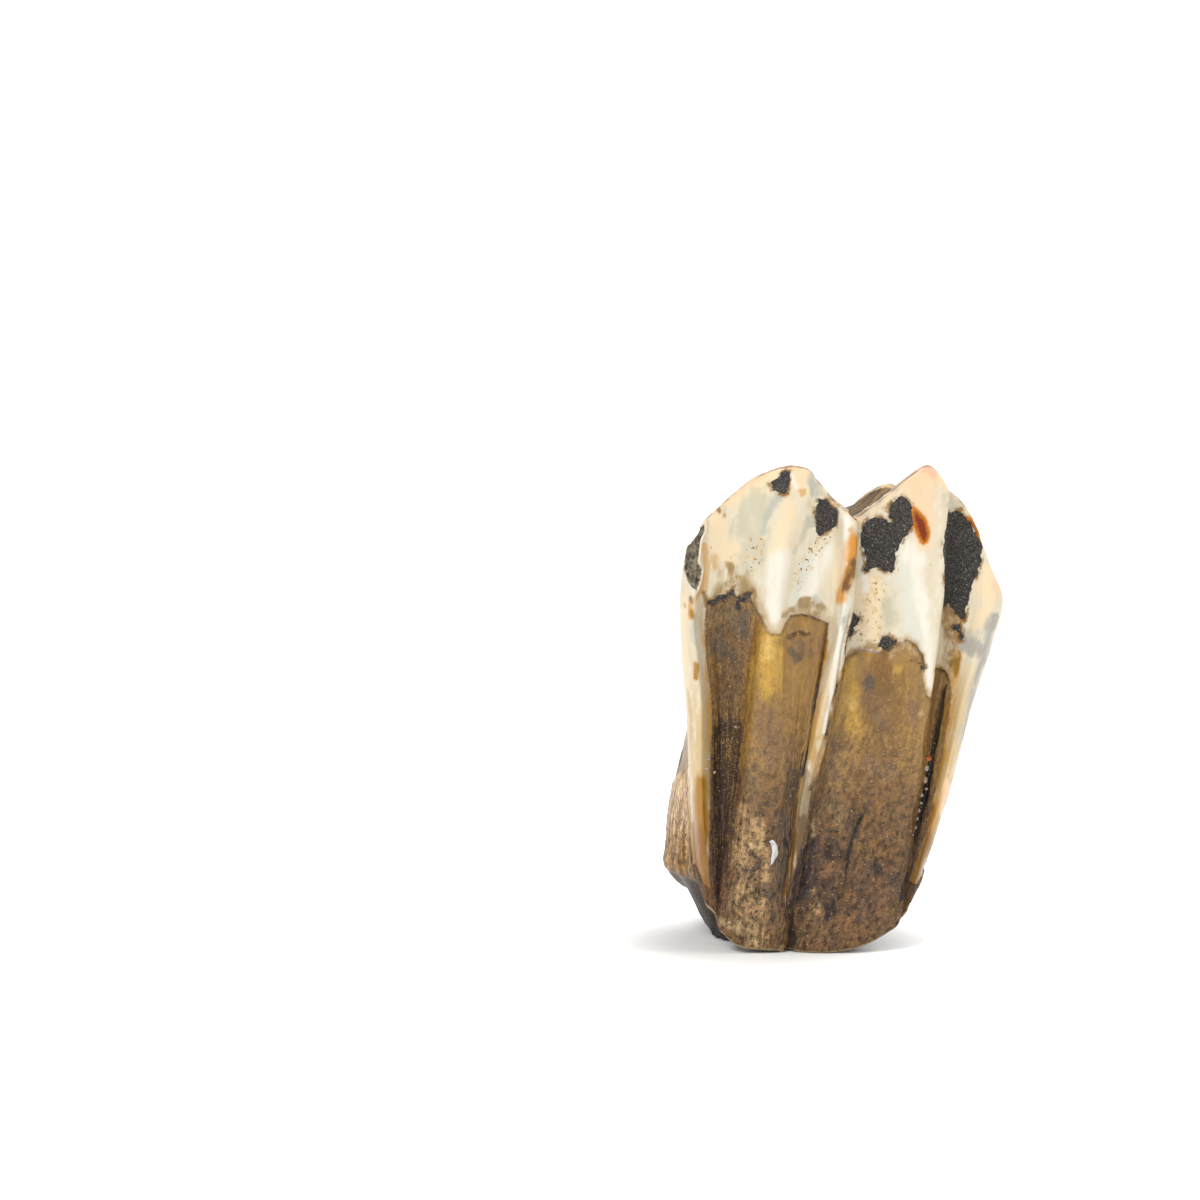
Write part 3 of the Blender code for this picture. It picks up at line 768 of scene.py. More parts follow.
    colour = stain(colour, "soot", srgb(54, 46, 36), 0.97, (
        (0.29, 0.24, (-12.4, 34.4), (-11.2, 35.1), (-10.2, 35.1)),
        (0.39, 0.29, (-8.8, 35.4), (-8.3, 35.8)),
        (0.29, 0.29, (-9.2, 35.0), (-8.9, 34.2)),
        (0.78, 0.78, (-1.5, 11.2), (-0.5, 10.0)),
        (0.87, 0.97, (-1.9, 10.2), (-2.4, 8.0), (-2.8, 5.5)),
        (0.68, 0.68, (-1.9, 7.6), (-2.5, 6.2)),
        (0.48, 0.48, (4.4, 9.0), (4.7, 8.1)),
        (0.44, 0.39, (-0.6, 4.8), (-0.5, 3.5)),
        (0.29, 0.29, (0.2, 5.5), (0.2, 3.9)),
        (0.17, 0.29, (-2.1, 15.3), (-2.4, 12.0), (-3.0, 10.1), (-3.6, 7.3), (-4.0, 4.7)),
        (0.44, 0.48, (-4.0, 4.0), (-3.8, 2.2), (-3.7, 0.8)),
        (0.48, 0.29, (9.6, 18.0), (9.2, 15.2), (8.7, 12.9), (8.3, 10.6)),
        (0.21, 0.15, (7.4, 8.4), (6.8, 5.6)),
        (0.39, 0.39, (4.9, 31.0), (5.5, 30.4)),
        (0.19, 0.19, (-3.1, 18.2), (-2.7, 19.7)),
        (0.29, 0.29, (-4.7, 11.4), (-4.6, 10.6)),
    ), wander=0.4, mottle=0.7)
    fibre = finish.noise(finish.stretched(flow, (1.0, 1.0, 0.13)), 2.2, detail=6.0, rough=0.68)
    tan = finish.blend(finish.step(fibre, 0.35, 0.65), srgb(150, 112, 70), srgb(222, 192, 150))
    tan_below = finish.blend(finish.step(fibre, 0.35, 0.65), srgb(122, 86, 40), srgb(198, 154, 94))
    tan = finish.blend(finish.step(height_up + (broad - 0.5) * 4, 13.5, 8.5), tan, tan_below)
    colour = finish.blend(finish.step(finish.value("plate") + (fine - 0.5) * 0.5, -0.1, 0.15), colour, tan)
    # Painted shade: the root under the tooth is darkened nearly to black.
    root_shade_mask = finish.step(finish.value("painted_root_shade") + (medium - 0.5) * 2, 0.0, 1.6)
    colour = finish.blend(root_shade_mask * 0.9, colour, finish.blend(grit_noise, srgb(22, 20, 15), srgb(52, 45, 35)))
    torn = finish.step(finish.value("cement") + (fine - 0.5) * 0.5, 0.4, 0.05)
    colour = finish.blend(torn * 0.5, colour, srgb(78, 60, 44))
    lower = finish.step(height_up + (medium - 0.5) * 6, 19.0, 11.0)
    pits = finish.noise(finish.stretched(flow, (1.0, 1.0, 0.6)), 3.6, detail=4.0, rough=0.65)
    pits = finish.step(pits, 0.58, 0.68) * lower
    colour = finish.blend(pits * 0.85, colour, srgb(54, 44, 34))
    runs = finish.noise(finish.stretched(flow, (1.0, 1.0, 0.3)), 1.5, detail=5.0, rough=0.62)
    runs = finish.step(runs, 0.52, 0.64) * finish.step(height_up + (broad - 0.5) * 8, 16.0, 9.0)
    colour = finish.blend(runs * 0.6, colour, srgb(76, 58, 44))
    colour = finish.blend(finish.value("pitting") * 0.5, colour, srgb(50, 42, 36))
    cracked = finish.step(finish.value("creases") + (fine - 0.5) * 0.25, -0.03, 0.1)
    colour = finish.blend(cracked * 0.9, colour, srgb(38, 30, 24))
    splits = finish.stretched(flow, (1.0, 1.0, 0.22)) + (medium - 0.5) * 1.5
    splits = {"Vector": splits, "Scale": 0.3}
    splits = finish.add("ShaderNodeTexVoronoi", {"feature": "DISTANCE_TO_EDGE"}, splits)
    splits = finish.step(splits, 0.02, 0.0) * finish.step(broad, 0.5, 0.6) * behind
    colour = finish.blend(splits * 0.8, colour, srgb(48, 38, 30))
    coarseness = finish.step(height_up + (broad - 0.5) * 6, 28.0, 15.0) + finish.value("umber")
    grime = finish.noise(finish.stretched(flow, (1.0, 1.0, 0.7)), 2.3, detail=6.0, rough=0.74)
    shade = finish.step(grime, 0.35, 0.63) * 1.1 + finish.step(streaks, 0.3, 0.7) * 0.3 + 0.34
    shade = finish.add("ShaderNodeCombineColor", None, {"Red": shade, "Green": shade, "Blue": shade})
    colour = finish.blend(coarseness * 0.7 + 0.25, colour, shade, kind="MULTIPLY")
    crumbs = finish.step(finish.noise(place, 2.0, detail=4.0, rough=0.6), 0.55, 0.66)
    colour = finish.blend(crumbs * finish.value("peat") * 0.4, colour, srgb(122, 96, 68))
    # Light flecks in the coarse cement: partly pale grains and partly painted glints.
    flecks_and_glints = finish.step(finish.noise(place, 4.2, detail=2.0), 0.66, 0.73)
    colour = finish.blend(flecks_and_glints * coarseness * 0.7, colour, srgb(196, 170, 130))
    lip = finish.step(finish.value("above_foot") + (fine - 0.5) * 0.3, 0.34, 0.12)
    colour = finish.blend(lip * 0.8, colour, srgb(204, 180, 136))
    colour = finish.blend(finish.step(finish.value("chip"), -0.04, 0.05), colour, srgb(228, 226, 222))
    return finish.add("ShaderNodeBsdfPrincipled", None, {
        "Base Color": colour,
        "Roughness": 0.34 + lower * 0.15 + finish.value("peat") * 0.3 + fine * 0.15,
        "Specular IOR Level": 0.28,
        "Subsurface Weight": 0.08,
        "Subsurface Radius": (1.0, 0.6, 0.3),
        "Subsurface Scale": 0.0006,
        "Coat Weight": 0.15,
        "Coat Roughness": 0.2,
        "Normal": finish.bump((grime + grit_noise * 0.4) * coarseness + streaks * 0.4 - pits * 0.8, 0.16),
    })


cement_look = cement_shader()

# Enamel. The hardest part of the tooth, dense and glossy, it is bare on the crown and down the
# three styles: cream with peach and grey-green clouds above, stained gold and then brown by
# the ground towards the foot of the styles. A chip took a facet off the left style.
FACET = ((-12.6, 42.3), (-12.5, 41.5), (-12.9, 40.9), (-13.1, 39.8), (-13.2, 38.5), (-12.8, 37.8),
         (-13.0, 36.6), (-13.3, 35.8), (-13.8, 36.2), (-14.3, 37.1), (-14.8, 38.0), (-15.0, 39.0),
         (-14.8, 39.9), (-14.3, 40.8), (-13.2, 41.9))
SPECKS = (
    (-7.5, 40.1), (-7.7, 39.7), (-7.9, 39.9), (-7.4, 39.1), (-11.9, 40.0), (-8.0, 38.0), (-0.3, 41.1),
    (-0.8, 40.9), (-1.8, 40.4), (-1.1, 40.0), (-2.4, 39.5), (-2.7, 38.8), (-3.2, 38.0), (-2.7, 37.8),
    (-2.5, 38.1), (9.3, 38.4), (-9.9, 38.9), (-9.6, 36.6),
)
SPECK_SIZE = 0.13
FACET_DEPTH = 0.25
FACET_LIP = 0.08
painted["below_rim"] = wall[-1, :, 2][None, :] - z_skin
facet = outline_depth(FACET)
painted["facet"] = facet
painted["specks"] = scratch([(SPECK_SIZE, SPECK_SIZE, speck, speck) for speck in SPECKS])
relief += smoothstep(-0.05, 0.15, facet) * (0.1 * rough(skin, 0.4) - FACET_DEPTH)
relief += FACET_LIP * np.exp(-(((facet + 0.15) / 0.12) ** 2))

# The edges of the enamel's stains are softer than those of the cement's, so the mottling is
# set anew here.
veil = finish.noise(finish.stretched(flow, (1.0, 1.0, 0.4)), 1.0, detail=6.0, rough=0.62)
mottling = finish.step(veil * 0.7 + medium * 0.3, 0.34, 0.66)


def enamel_shader():
    """Cream enamel with its clouds, stains and pinprick specks, and some painted glow, shade and
    reflections.
    """
    colour = srgb(222, 209, 182)
    lower = height_up + (streaks - 0.5) * 5 + (broad - 0.5) * 4
    colour = finish.blend(finish.step(lower, 31.0, 21.0), colour, srgb(210, 182, 134))
    colour = finish.blend(finish.step(lower, 18.0, 12.5), colour, srgb(180, 136, 66))
    colour = finish.blend(finish.step(lower, 11.0, 6.0), colour, srgb(130, 94, 50))
    behind = finish.value("behind")
    clouds = finish.noise(finish.stretched(flow, (1.0, 1.0, 0.5)), 0.3, detail=4.0)
    colour = finish.blend(finish.step(clouds, 0.5, 0.66) * behind * 0.7, colour, srgb(196, 197, 182))
    colour = finish.blend(finish.step(clouds, 0.48, 0.32) * behind * 0.7, colour, srgb(232, 196, 150))
    near_cement = finish.value("cement") + (medium - 0.5) * 1.6 + (fine - 0.5) * 0.6
    near_cement = finish.step(near_cement, -1.3, 0.05)
    high = finish.step(height_up, 30.0, 33.5)
    colour = finish.blend(near_cement * high * 0.5, colour, srgb(168, 136, 84))
    near_cement = finish.step(finish.value("cement") + (fine - 0.5) * 0.5, -0.6, 0.05) * (1 - high)
    colour = finish.blend(near_cement * 0.95, colour, srgb(172, 128, 62))
    colour = finish.blend(finish.step(veil, 0.5, 0.68) * 0.4, colour, srgb(206, 184, 142))
    colour = finish.blend(finish.step(veil, 0.48, 0.32) * 0.4, colour, srgb(236, 231, 216))
    # Painted glow: a peach band just below the rim, as of light through the thin enamel edge.
    below_rim = finish.value("below_rim") + (medium - 0.5) * 0.8
    colour = finish.blend(finish.step(below_rim, 1.3, 0.1) * 0.7, colour, srgb(246, 208, 162))
    colour = stain(colour, "cream", srgb(237, 214, 176), 0.9, (
        (1.07, 0.87, (-4.5, 43.9), (-4.9, 41.8), (-5.4, 39.8)),
        (1.26, 1.07, (-11.6, 42.2), (-11.0, 40.2), (-9.8, 39.1)),
        (0.87, 0.78, (-10.2, 44.4), (-7.6, 45.8), (-5.9, 46.8)),
        (0.78, 0.68, (-3.4, 47.2), (-2.9, 45.4)),
        (0.68, 0.58, (0.4, 39.3), (-0.1, 36.1)),
        (0.87, 0.78, (14.7, 37.4), (15.0, 34.9), (14.2, 32.7)),
        (0.58, 0.68, (-14.5, 34.8), (-14.6, 30.9), (-14.3, 27.0), (-13.8, 23.0)),
        (1.45, 1.36, (3.4, 36.3), (3.8, 33.9), (3.2, 32.1)),
        (0.39, 0.39, (6.6, 46.0), (6.2, 45.4)),
    ), wander=0.6, mottle=0.3)
    # Where it runs along the left rim and the right style's outer edge, the peach is partly painted glow,
    # as of light through the thin enamel edge.
    colour = stain(colour, "peach", srgb(243, 204, 165), 0.9, (
        (1.65, 0.87, (8.3, 46.8), (8.3, 43.2), (8.6, 40.3)),
        (0.34, 0.44, (-10.8, 44.2), (-9.4, 45.4), (-7.9, 46.5), (-6.6, 47.2)),
        (0.24, 0.29, (-5.8, 47.6), (-4.3, 47.8), (-3.3, 47.7)),
        (0.34, 0.34, (1.6, 41.5), (0.9, 38.9), (0.4, 36.7)),
        (0.58, 0.58, (15.9, 36.7), (16.2, 35.3)),
        (0.58, 0.48, (11.3, 16.8), (10.7, 13.9)),
        (0.39, 0.39, (-9.0, 45.9), (-8.1, 46.4)),
    ), wander=0.3, mottle=0.25)
    colour = stain(colour, "blush", srgb(239, 180, 148), 0.7, (
        (0.39, 0.48, (8.1, 47.6), (9.0, 47.9), (9.6, 47.3)),
    ), wander=0.2, mottle=0.2)
    # Milk and white: pale enamel, and along the right rib and the middle style partly painted reflections
    # of the lamps.
    colour = stain(colour, "milk", srgb(218, 220, 209), 0.7, (
        (1.65, 1.16, (6.6, 40.3), (7.3, 35.9), (7.9, 31.1)),
        (1.16, 0.97, (-2.1, 38.8), (-3.3, 35.8)),
        (0.68, 0.48, (1.0, 35.1), (0.7, 30.2)),
    ), wander=0.8, mottle=0.5)
    colour = stain(colour, "white", srgb(237, 230, 215), 0.95, (
        (1.45, 0.68, (-5.6, 38.6), (-5.6, 35.9), (-5.7, 33.2)),
        (1.07, 0.97, (-1.0, 39.5), (-1.7, 37.3), (-2.5, 35.3)),
        (0.58, 0.58, (0.3, 43.6), (1.2, 42.4), (1.0, 41.1)),
        (0.39, 0.29, (0.5, 35.0), (0.4, 31.2), (0.1, 28.5), (-0.5, 24.8), (-0.9, 22.4)),
        (0.87, 0.48, (7.4, 40.0), (8.1, 36.9), (8.7, 33.9), (9.4, 30.1), (9.4, 26.4)),
        (0.29, 0.39, (2.8, 39.6), (3.0, 35.8)),
        (0.39, 0.39, (-4.1, 46.8), (-3.7, 46.2)),
        (0.29, 0.29, (-2.4, 19.6), (-2.5, 17.6)),
        (0.15, 0.12, (-13.8, 17.7), (-13.8, 15.1), (-13.6, 12.4)),
    ), wander=0.5, mottle=0.3)
    colour = stain(colour, "sage", srgb(190, 187, 164), 0.62, (
        (1.65, 1.65, (-7.7, 44.8), (-8.3, 41.9), (-7.7, 38.5)),
        (0.78, 0.87, (-5.8, 44.9), (-6.9, 43.1), (-7.8, 41.1)),
        (0.78, 0.68, (-2.2, 46.2), (-1.7, 45.3)),
        (0.48, 0.48, (-2.7, 42.5), (-3.4, 40.2)),
        (0.78, 0.78, (-8.7, 40.2), (-7.9, 37.8)),
        (0.48, 0.48, (6.0, 46.1), (4.3, 44.6), (3.1, 43.5)),
        (0.68, 0.68, (11.1, 45.1), (12.1, 43.8), (13.4, 43.0)),
        (0.24, 0.24, (2.6, 40.2), (2.7, 37.6)),
        (0.58, 0.58, (5.5, 35.1), (5.6, 32.6)),
        (0.48, 0.48, (1.3, 33.9), (0.8, 32.2)),
        (0.39, 0.29, (-1.3, 46.2), (-0.5, 44.8), (0.2, 43.7)),
        (0.48, 0.48, (-9.7, 42.6), (-9.0, 41.1)),
        (0.39, 0.39, (13.5, 26.1), (12.8, 22.9), (12.0, 20.0)),
    ), wander=1.0, mottle=0.4)
    colour = stain(colour, "blue", srgb(170, 176, 168), 0.6, (
        (0.58, 0.48, (-5.4, 44.8), (-6.0, 43.7), (-6.8, 42.5)),
        (0.39, 0.39, (-6.6, 42.9), (-6.9, 41.7)),
        (0.58, 0.58, (-2.1, 46.1), (-1.6, 45.4)),
        (0.48, 0.48, (-2.2, 43.2), (-2.3, 41.9)),
        (0.48, 0.48, (-13.5, 33.4), (-13.5, 30.7)),
        (0.39, 0.34, (-1.8, 35.2), (-1.5, 34.6)),
        (0.34, 0.29, (1.0, 33.7), (0.8, 32.8)),
        (0.25, 0.25, (-11.4, 43.5), (-10.8, 43.2)),
    ), wander=0.7, mottle=0.4)
    colour = stain(colour, "honey", srgb(208, 159, 86), 0.75, (
        (0.48, 0.48, (-12.7, 40.2), (-12.4, 38.6), (-12.6, 36.0)),
        (0.78, 0.78, (1.8, 41.1), (1.7, 38.9), (1.2, 37.0), (0.6, 35.2)),
        (0.58, 0.48, (-11.6, 38.9), (-11.7, 37.8)),
        (0.39, 0.39, (-13.0, 35.7), (-13.9, 34.5), (-14.0, 33.3)),
        (0.34, 0.34, (1.4, 41.8), (1.8, 40.9)),
        (0.23, 0.23, (-3.3, 45.6), (-3.1, 45.2)),
        (0.58, 0.58, (-0.7, 29.6), (-1.2, 26.6), (-1.7, 23.8), (-2.1, 21.5)),
        (0.78, 0.78, (12.1, 28.5), (11.9, 25.8), (11.4, 22.8), (10.8, 19.5)),
        (0.78, 0.78, (-12.2, 30.9), (-12.1, 27.8), (-12.0, 25.0), (-11.9, 21.6)),
        (0.48, 0.39, (-1.9, 21.4), (-2.2, 19.7)),
        (0.48, 0.39, (10.2, 16.1), (9.6, 13.0)),
        (0.39, 0.39, (-10.2, 38.1), (-9.6, 37.2)),
        (0.29, 0.29, (7.0, 7.2), (7.3, 5.4)),
    ), wander=0.35, mottle=0.7)
    colour = stain(colour, "gold", srgb(172, 124, 30), 1.0, (
        (0.34, 0.29, (-13.9, 33.9), (-13.8, 33.4)),
        (0.39, 0.29, (-13.4, 28.7), (-13.4, 27.6)),
        (1.07, 1.55, (-12.8, 17.0), (-13.0, 14.8), (-13.2, 11.5)),
        (0.29, 0.29, (12.3, 29.7), (12.1, 27.8)),
        (0.34, 0.29, (10.9, 20.1), (10.2, 16.9)),
        (0.24, 0.24, (-0.6, 31.0), (-0.9, 29.0)),
    ), wander=0.3, mottle=0.15)
    colour = stain(colour, "clay", srgb(150, 116, 66), 0.95, (
        (0.97, 0.87, (11.1, 34.0), (11.5, 31.7), (11.8, 28.5)),
    ), wander=0.5, mottle=0.5)
    colour = stain(colour, "olive_tan", srgb(176, 148, 98), 0.6, (
        (0.48, 0.58, (-9.9, 38.1), (-9.3, 36.9), (-8.7, 35.8)),
        (0.87, 0.78, (-8.7, 37.1), (-7.9, 35.4)),
        (0.78, 0.68, (-10.8, 36.5), (-11.5, 35.6), (-12.1, 34.8)),
        (0.48, 0.39, (-4.0, 34.3), (-2.9, 34.8), (-1.8, 34.1)),
        (0.29, 0.29, (-4.2, 33.8), (-2.7, 34.1), (-1.1, 33.5)),
        (0.39, 0.29, (-7.4, 34.9), (-6.9, 32.7)),
        (0.29, 0.24, (-4.6, 33.3), (-4.9, 31.6)),
        (0.87, 0.78, (-2.1, 21.2), (-2.5, 19.2)),
        (0.39, 0.39, (-14.0, 25.6), (-13.7, 21.7)),
        (0.29, 0.29, (6.2, 44.6), (4.9, 43.6)),
    ), wander=0.9, mottle=0.5)
    colour = stain(colour, "ochre", srgb(150, 102, 8), 1.0, (
        (1.84, 1.65, (-13.2, 11.5), (-13.1, 9.0), (-12.8, 6.6), (-12.3, 5.3)),
        (0.29, 0.29, (9.9, 14.7), (9.5, 12.6)),
        (0.19, 0.29, (-12.6, 15.4), (-12.4, 10.3)),
    ), wander=0.3, mottle=0.15)
    colour = stain(colour, "brown", srgb(146, 110, 66), 0.95, (
        (1.26, 1.84, (9.3, 11.6), (8.4, 9.0), (7.4, 5.9)),
        (0.19, 0.29, (-2.8, 14.8), (-3.1, 12.3)),
        (0.19, 0.19, (-10.8, 43.0), (-10.7, 42.9)),
        (0.17, 0.17, (-11.4, 43.4), (-11.2, 43.2)),
        (0.24, 0.24, (-14.0, 39.8), (-14.1, 39.5)),
        (0.29, 0.24, (-12.6, 35.8), (-12.5, 34.6)),
        (0.19, 0.19, (-14.5, 34.6), (-14.4, 34.4)),
        (0.19, 0.19, (-13.9, 35.1), (-13.8, 34.7)),
    ), wander=0.3, mottle=0.4)
    colour = stain(colour, "orange", srgb(218, 146, 0), 1.0, (
        (0.87, 0.87, (1.8, 40.8), (1.8, 39.1), (1.2, 37.0), (0.5, 35.3)),
        (0.68, 0.68, (0.5, 35.6), (0.7, 35.2)),
        (0.21, 0.21, (-4.7, 45.5), (-4.6, 45.2)),
        (0.16, 0.16, (-0.5, 44.0), (0.0, 43.6)),
    ), wander=0.4, mottle=0.15)
    # Along the right style's outer side the slate is partly the enamel's grey and partly painted shade
    # where the edge turns away from the light.
    colour = stain(colour, "slate", srgb(142, 144, 146), 0.68, (
        (0.97, 0.58, (15.4, 32.7), (14.8, 29.9), (13.8, 26.0), (12.9, 21.0)),
        (1.07, 1.07, (13.0, 30.7), (13.9, 30.2)),
    ), wander=0.8, mottle=0.35)
    colour = stain(colour, "silt", srgb(146, 116, 64), 0.75, (
        (0.58, 0.58, (-12.4, 34.4), (-11.4, 35.4), (-10.3, 36.3)),
        (0.68, 0.78, (-9.9, 38.1), (-9.0, 36.3), (-7.9, 34.8)),
        (0.39, 0.39, (-7.8, 34.6), (-7.2, 32.9)),
        (0.58, 0.48, (-4.5, 33.7), (-3.8, 34.3), (-2.5, 34.6), (-1.1, 33.7)),
        (0.48, 0.39, (1.7, 29.5), (3.6, 30.7), (5.5, 30.4)),
    ), wander=0.7, mottle=0.6)
    colour = stain(colour, "putty", srgb(146, 130, 102), 0.9, (
        (0.78, 0.87, (-2.7, 17.8), (-2.9, 15.4), (-3.1, 12.8)),
    ), wander=0.3, mottle=0.6)
    colour = stain(colour, "walnut", srgb(110, 82, 50), 0.95, (
        (0.68, 1.45, (-2.9, 13.2), (-3.1, 11.7), (-3.4, 10.1), (-4.1, 6.7), (-4.4, 2.7)),
    ), wander=0.4, mottle=0.6)
    colour = stain(colour, "burnt", srgb(112, 78, 38), 0.95, (
        (0.68, 0.63, (1.7, 38.7), (1.4, 37.3), (1.0, 36.4)),
    ), wander=0.3, mottle=0.6)
    # Painted shade: a thin dark line along the top of the rim, broken up by noise.
    rim_painted_shade = finish.step(finish.value("below_rim") + (fine - 0.5) * 0.1, 0.3, 0.05)
    colour = finish.blend(rim_painted_shade * finish.step(medium, 0.35, 0.6) * 0.8, colour, srgb(112, 90, 68))
    fringe = finish.step(finish.value("crust") + (fine - 0.5) * 0.6, -0.45, -0.05)
    colour = finish.blend(fringe * finish.step(medium, 0.42, 0.58), colour, srgb(140, 104, 54))
    painted["speckle"] = cloud(((0.9, 0.9, (-7.6, 40.0), (-7.9, 38.4)),
                                (0.7, 0.9, (-0.6, 41.2), (-2.6, 38.6), (-3.2, 37.6)),
                                (1.4, 1.4, (4.6, 36.4), (3.6, 33.0), (3.4, 31.0)),
                                (0.7, 0.8, (11.6, 32.4), (11.5, 29.2))), 1.0)
    dots = finish.step(finish.noise(place, 3.0, detail=2.0), 0.6, 0.69)
    gilt = finish.blend(finish.step(medium, 0.45, 0.55), srgb(172, 134, 66), srgb(112, 88, 50))
    speckled = finish.step(finish.value("speckle"), 0.1, 0.7)
    halo = finish.step(finish.noise(place, 1.5, detail=3.0), 0.45, 0.65) * speckled
    colour = finish.blend(halo * 0.5, colour, srgb(222, 190, 134))
    colour = finish.blend(dots * speckled * 0.8, colour, gilt)
    specks = finish.step(finish.value("specks") + (fine - 0.5) * 0.15, -0.03, 0.05)
    colour = finish.blend(specks * 0.9, colour, srgb(88, 68, 40))
    colour = finish.blend(finish.step(streaks, 0.5, 0.8) * 0.2, colour, srgb(206, 182, 140))
    chipped = finish.step(finish.value("facet") + (fine - 0.5) * 0.2, -0.04, 0.05)
    flaw = finish.noise(place, 1.8, detail=6.0, rough=0.72)
    flaw = finish.blend(finish.step(flaw, 0.38, 0.64), srgb(60, 52, 40), srgb(142, 130, 106))
    lip = finish.step(finish.value("facet"), -0.36, -0.22) - finish.step(finish.value("facet"), -0.1, 0.0)
    colour = finish.blend(lip * 0.6, colour, srgb(222, 212, 196))
    colour = finish.blend(chipped, colour, flaw)
    return finish.add("ShaderNodeBsdfPrincipled", None, {
        "Base Color": colour,
        "Roughness": 0.26 + fine * 0.1 + chipped * 0.3,
        "Specular IOR Level": 0.32,
        "Subsurface Weight": 0.15,
        "Subsurface Radius": (1.0, 0.75, 0.5),
        "Subsurface Scale": 0.0008,
        "Coat Weight": 0.2,
        "Coat Roughness": 0.12,
        "Normal": finish.bump(streaks * 0.5 + fine * 0.3, 0.05),
    })


enamel_look = enamel_shader()

# Dentine. The softer inner body of the tooth fills the chewing face inside its enamel rims and
# shows on the broken root: dull brown, cracked and soaked with dark mineral.
BROKEN_RELIEF = 0.25
WORN_RELIEF = 0.08
crown_ridge = np.full(z_skin.shape, 2.0)
crown_x, crown_y = x_skin[crown_rows], y_skin[crown_rows]
rim_gap = np.hypot(crown_x - wall[-1, :, 0], crown_y - wall[-1, :, 1])
pit_gap = np.abs(pit_distance(crown_x, crown_y) - PIT_WALL)
crown_ridge[crown_rows] = np.maximum(RIM_ENAMEL - rim_gap, 0.3 - pit_gap)
crown_ridge[root_rows] = -2.0
painted["enamel_ridge"] = crown_ridge
broken = np.zeros(z_skin.shape)
broken[root_rows] = smoothstep(0.0, 6.0, len(root) - 1.0 - np.arange(len(root)))[:, None]
relief += broken * BROKEN_RELIEF * rough(skin, 0.9, octaves=4)
worn = np.zeros(z_skin.shape)
worn[crown_rows] = (smoothstep(0.0, 0.06, CROWN_RINGS) * (1 - smoothstep(0.85, 1.0, CROWN_RINGS)))[:, None]
relief += worn * WORN_RELIEF * rough(skin, 0.7, octaves=4)


def dentine_shader():
    """Dull brown dentine with dark mineral in its pores."""
    colour = finish.blend(medium, srgb(150, 118, 76), srgb(96, 76, 52))
    colour = finish.blend(finish.step(broad, 0.48, 0.6) * 0.6, colour, srgb(72, 58, 44))
    scratched = finish.noise(finish.stretched(flow, (1.0, 1.0, 0.2)), 1.2, detail=6.0, rough=0.7)
    colour = finish.blend(finish.step(scratched, 0.5, 0.62) * 0.8, colour, srgb(186, 154, 106))
    colour = finish.blend(finish.step(scratched, 0.46, 0.38) * 0.8, colour, srgb(52, 42, 32))
    colour = finish.blend(finish.step(grit_noise, 0.55, 0.68) * 0.8, colour, srgb(56, 48, 40))
    return finish.add("ShaderNodeBsdfPrincipled", None, {
        "Base Color": colour,
        "Roughness": 0.5 + fine * 0.2,
        "Normal": finish.bump(grit_noise + fine, 0.25),
    })


dentine_look = dentine_shader()

# Mineral crust. Black iron and manganese minerals settled on the enamel while the tooth lay in
# the ground. They hold to it in thin grainy scabs, with bright specks in them, partly pale grains
# and partly painted glints, and rust along some of their edges.
CRUSTS = (
    ((-4.3, 47.5), (-4.3, 46.5), (-4.5, 45.7), (-4.7, 45.2), (-5.4, 45.3), (-6.0, 45.7), (-6.3, 46.4),
     (-5.5, 46.9), (-4.9, 47.5)),
    ((-1.5, 44.9), (-0.9, 44.8), (-0.3, 44.2), (0.3, 43.5), (0.2, 42.1), (-0.7, 41.6), (-1.4, 41.1),
     (-1.7, 41.5), (-1.8, 43.8)),
    ((6.4, 45.0), (7.0, 44.8), (7.4, 44.3), (7.6, 42.5), (7.1, 41.3), (6.7, 41.0), (6.1, 39.7), (5.9, 39.0),
     (6.0, 37.7), (5.4, 37.6), (4.9, 37.7), (4.4, 38.0), (3.7, 37.8), (3.2, 37.6), (2.9, 37.9), (3.1, 38.9),
     (2.6, 40.4), (2.5, 41.2), (2.7, 42.0), (3.2, 42.7), (4.1, 43.0), (4.9, 42.9), (5.6, 42.4), (5.3, 43.1),
     (5.2, 43.7), (5.5, 44.4), (6.0, 44.8)),
    ((11.0, 43.3), (11.8, 43.5), (12.3, 43.6), (12.8, 43.1), (13.4, 42.3), (13.9, 41.2), (14.5, 40.2),
     (14.3, 38.6), (13.6, 36.4), (13.1, 34.5), (12.8, 32.8), (12.3, 32.9), (11.9, 33.5), (11.3, 34.4),
     (10.8, 34.0), (10.7, 36.7), (10.5, 39.5), (10.7, 41.4)),
    ((-12.3, 34.6), (-11.6, 35.0), (-10.1, 35.5), (-9.6, 36.0), (-9.8, 35.2), (-10.9, 34.8), (-12.3, 34.2)),
    ((-9.0, 35.1), (-8.4, 35.0), (-8.0, 35.7), (-7.8, 35.6), (-8.4, 34.4), (-8.1, 33.9), (-8.6, 34.3),
     (-9.1, 34.7)),
    ((1.7, 33.6), (2.2, 33.7), (2.7, 32.9), (2.4, 32.6), (2.1, 32.4), (2.0, 31.7), (1.1, 29.9), (1.0, 29.4),
     (1.2, 30.7), (1.5, 32.8)),
    ((4.2, 30.3), (4.5, 30.8), (4.9, 31.3), (5.4, 31.4), (6.1, 31.1), (6.0, 30.7), (5.4, 30.3), (5.4, 29.9),
     (5.1, 29.6), (4.8, 30.0)),
    ((11.7, 32.4), (12.3, 32.6), (12.6, 31.8), (12.8, 31.2), (12.6, 30.8), (12.3, 31.0), (12.3, 31.5),
     (11.8, 31.9)),
    ((8.3, 28.6), (8.6, 28.7), (8.9, 28.5), (8.6, 28.2), (8.4, 28.2)),
)
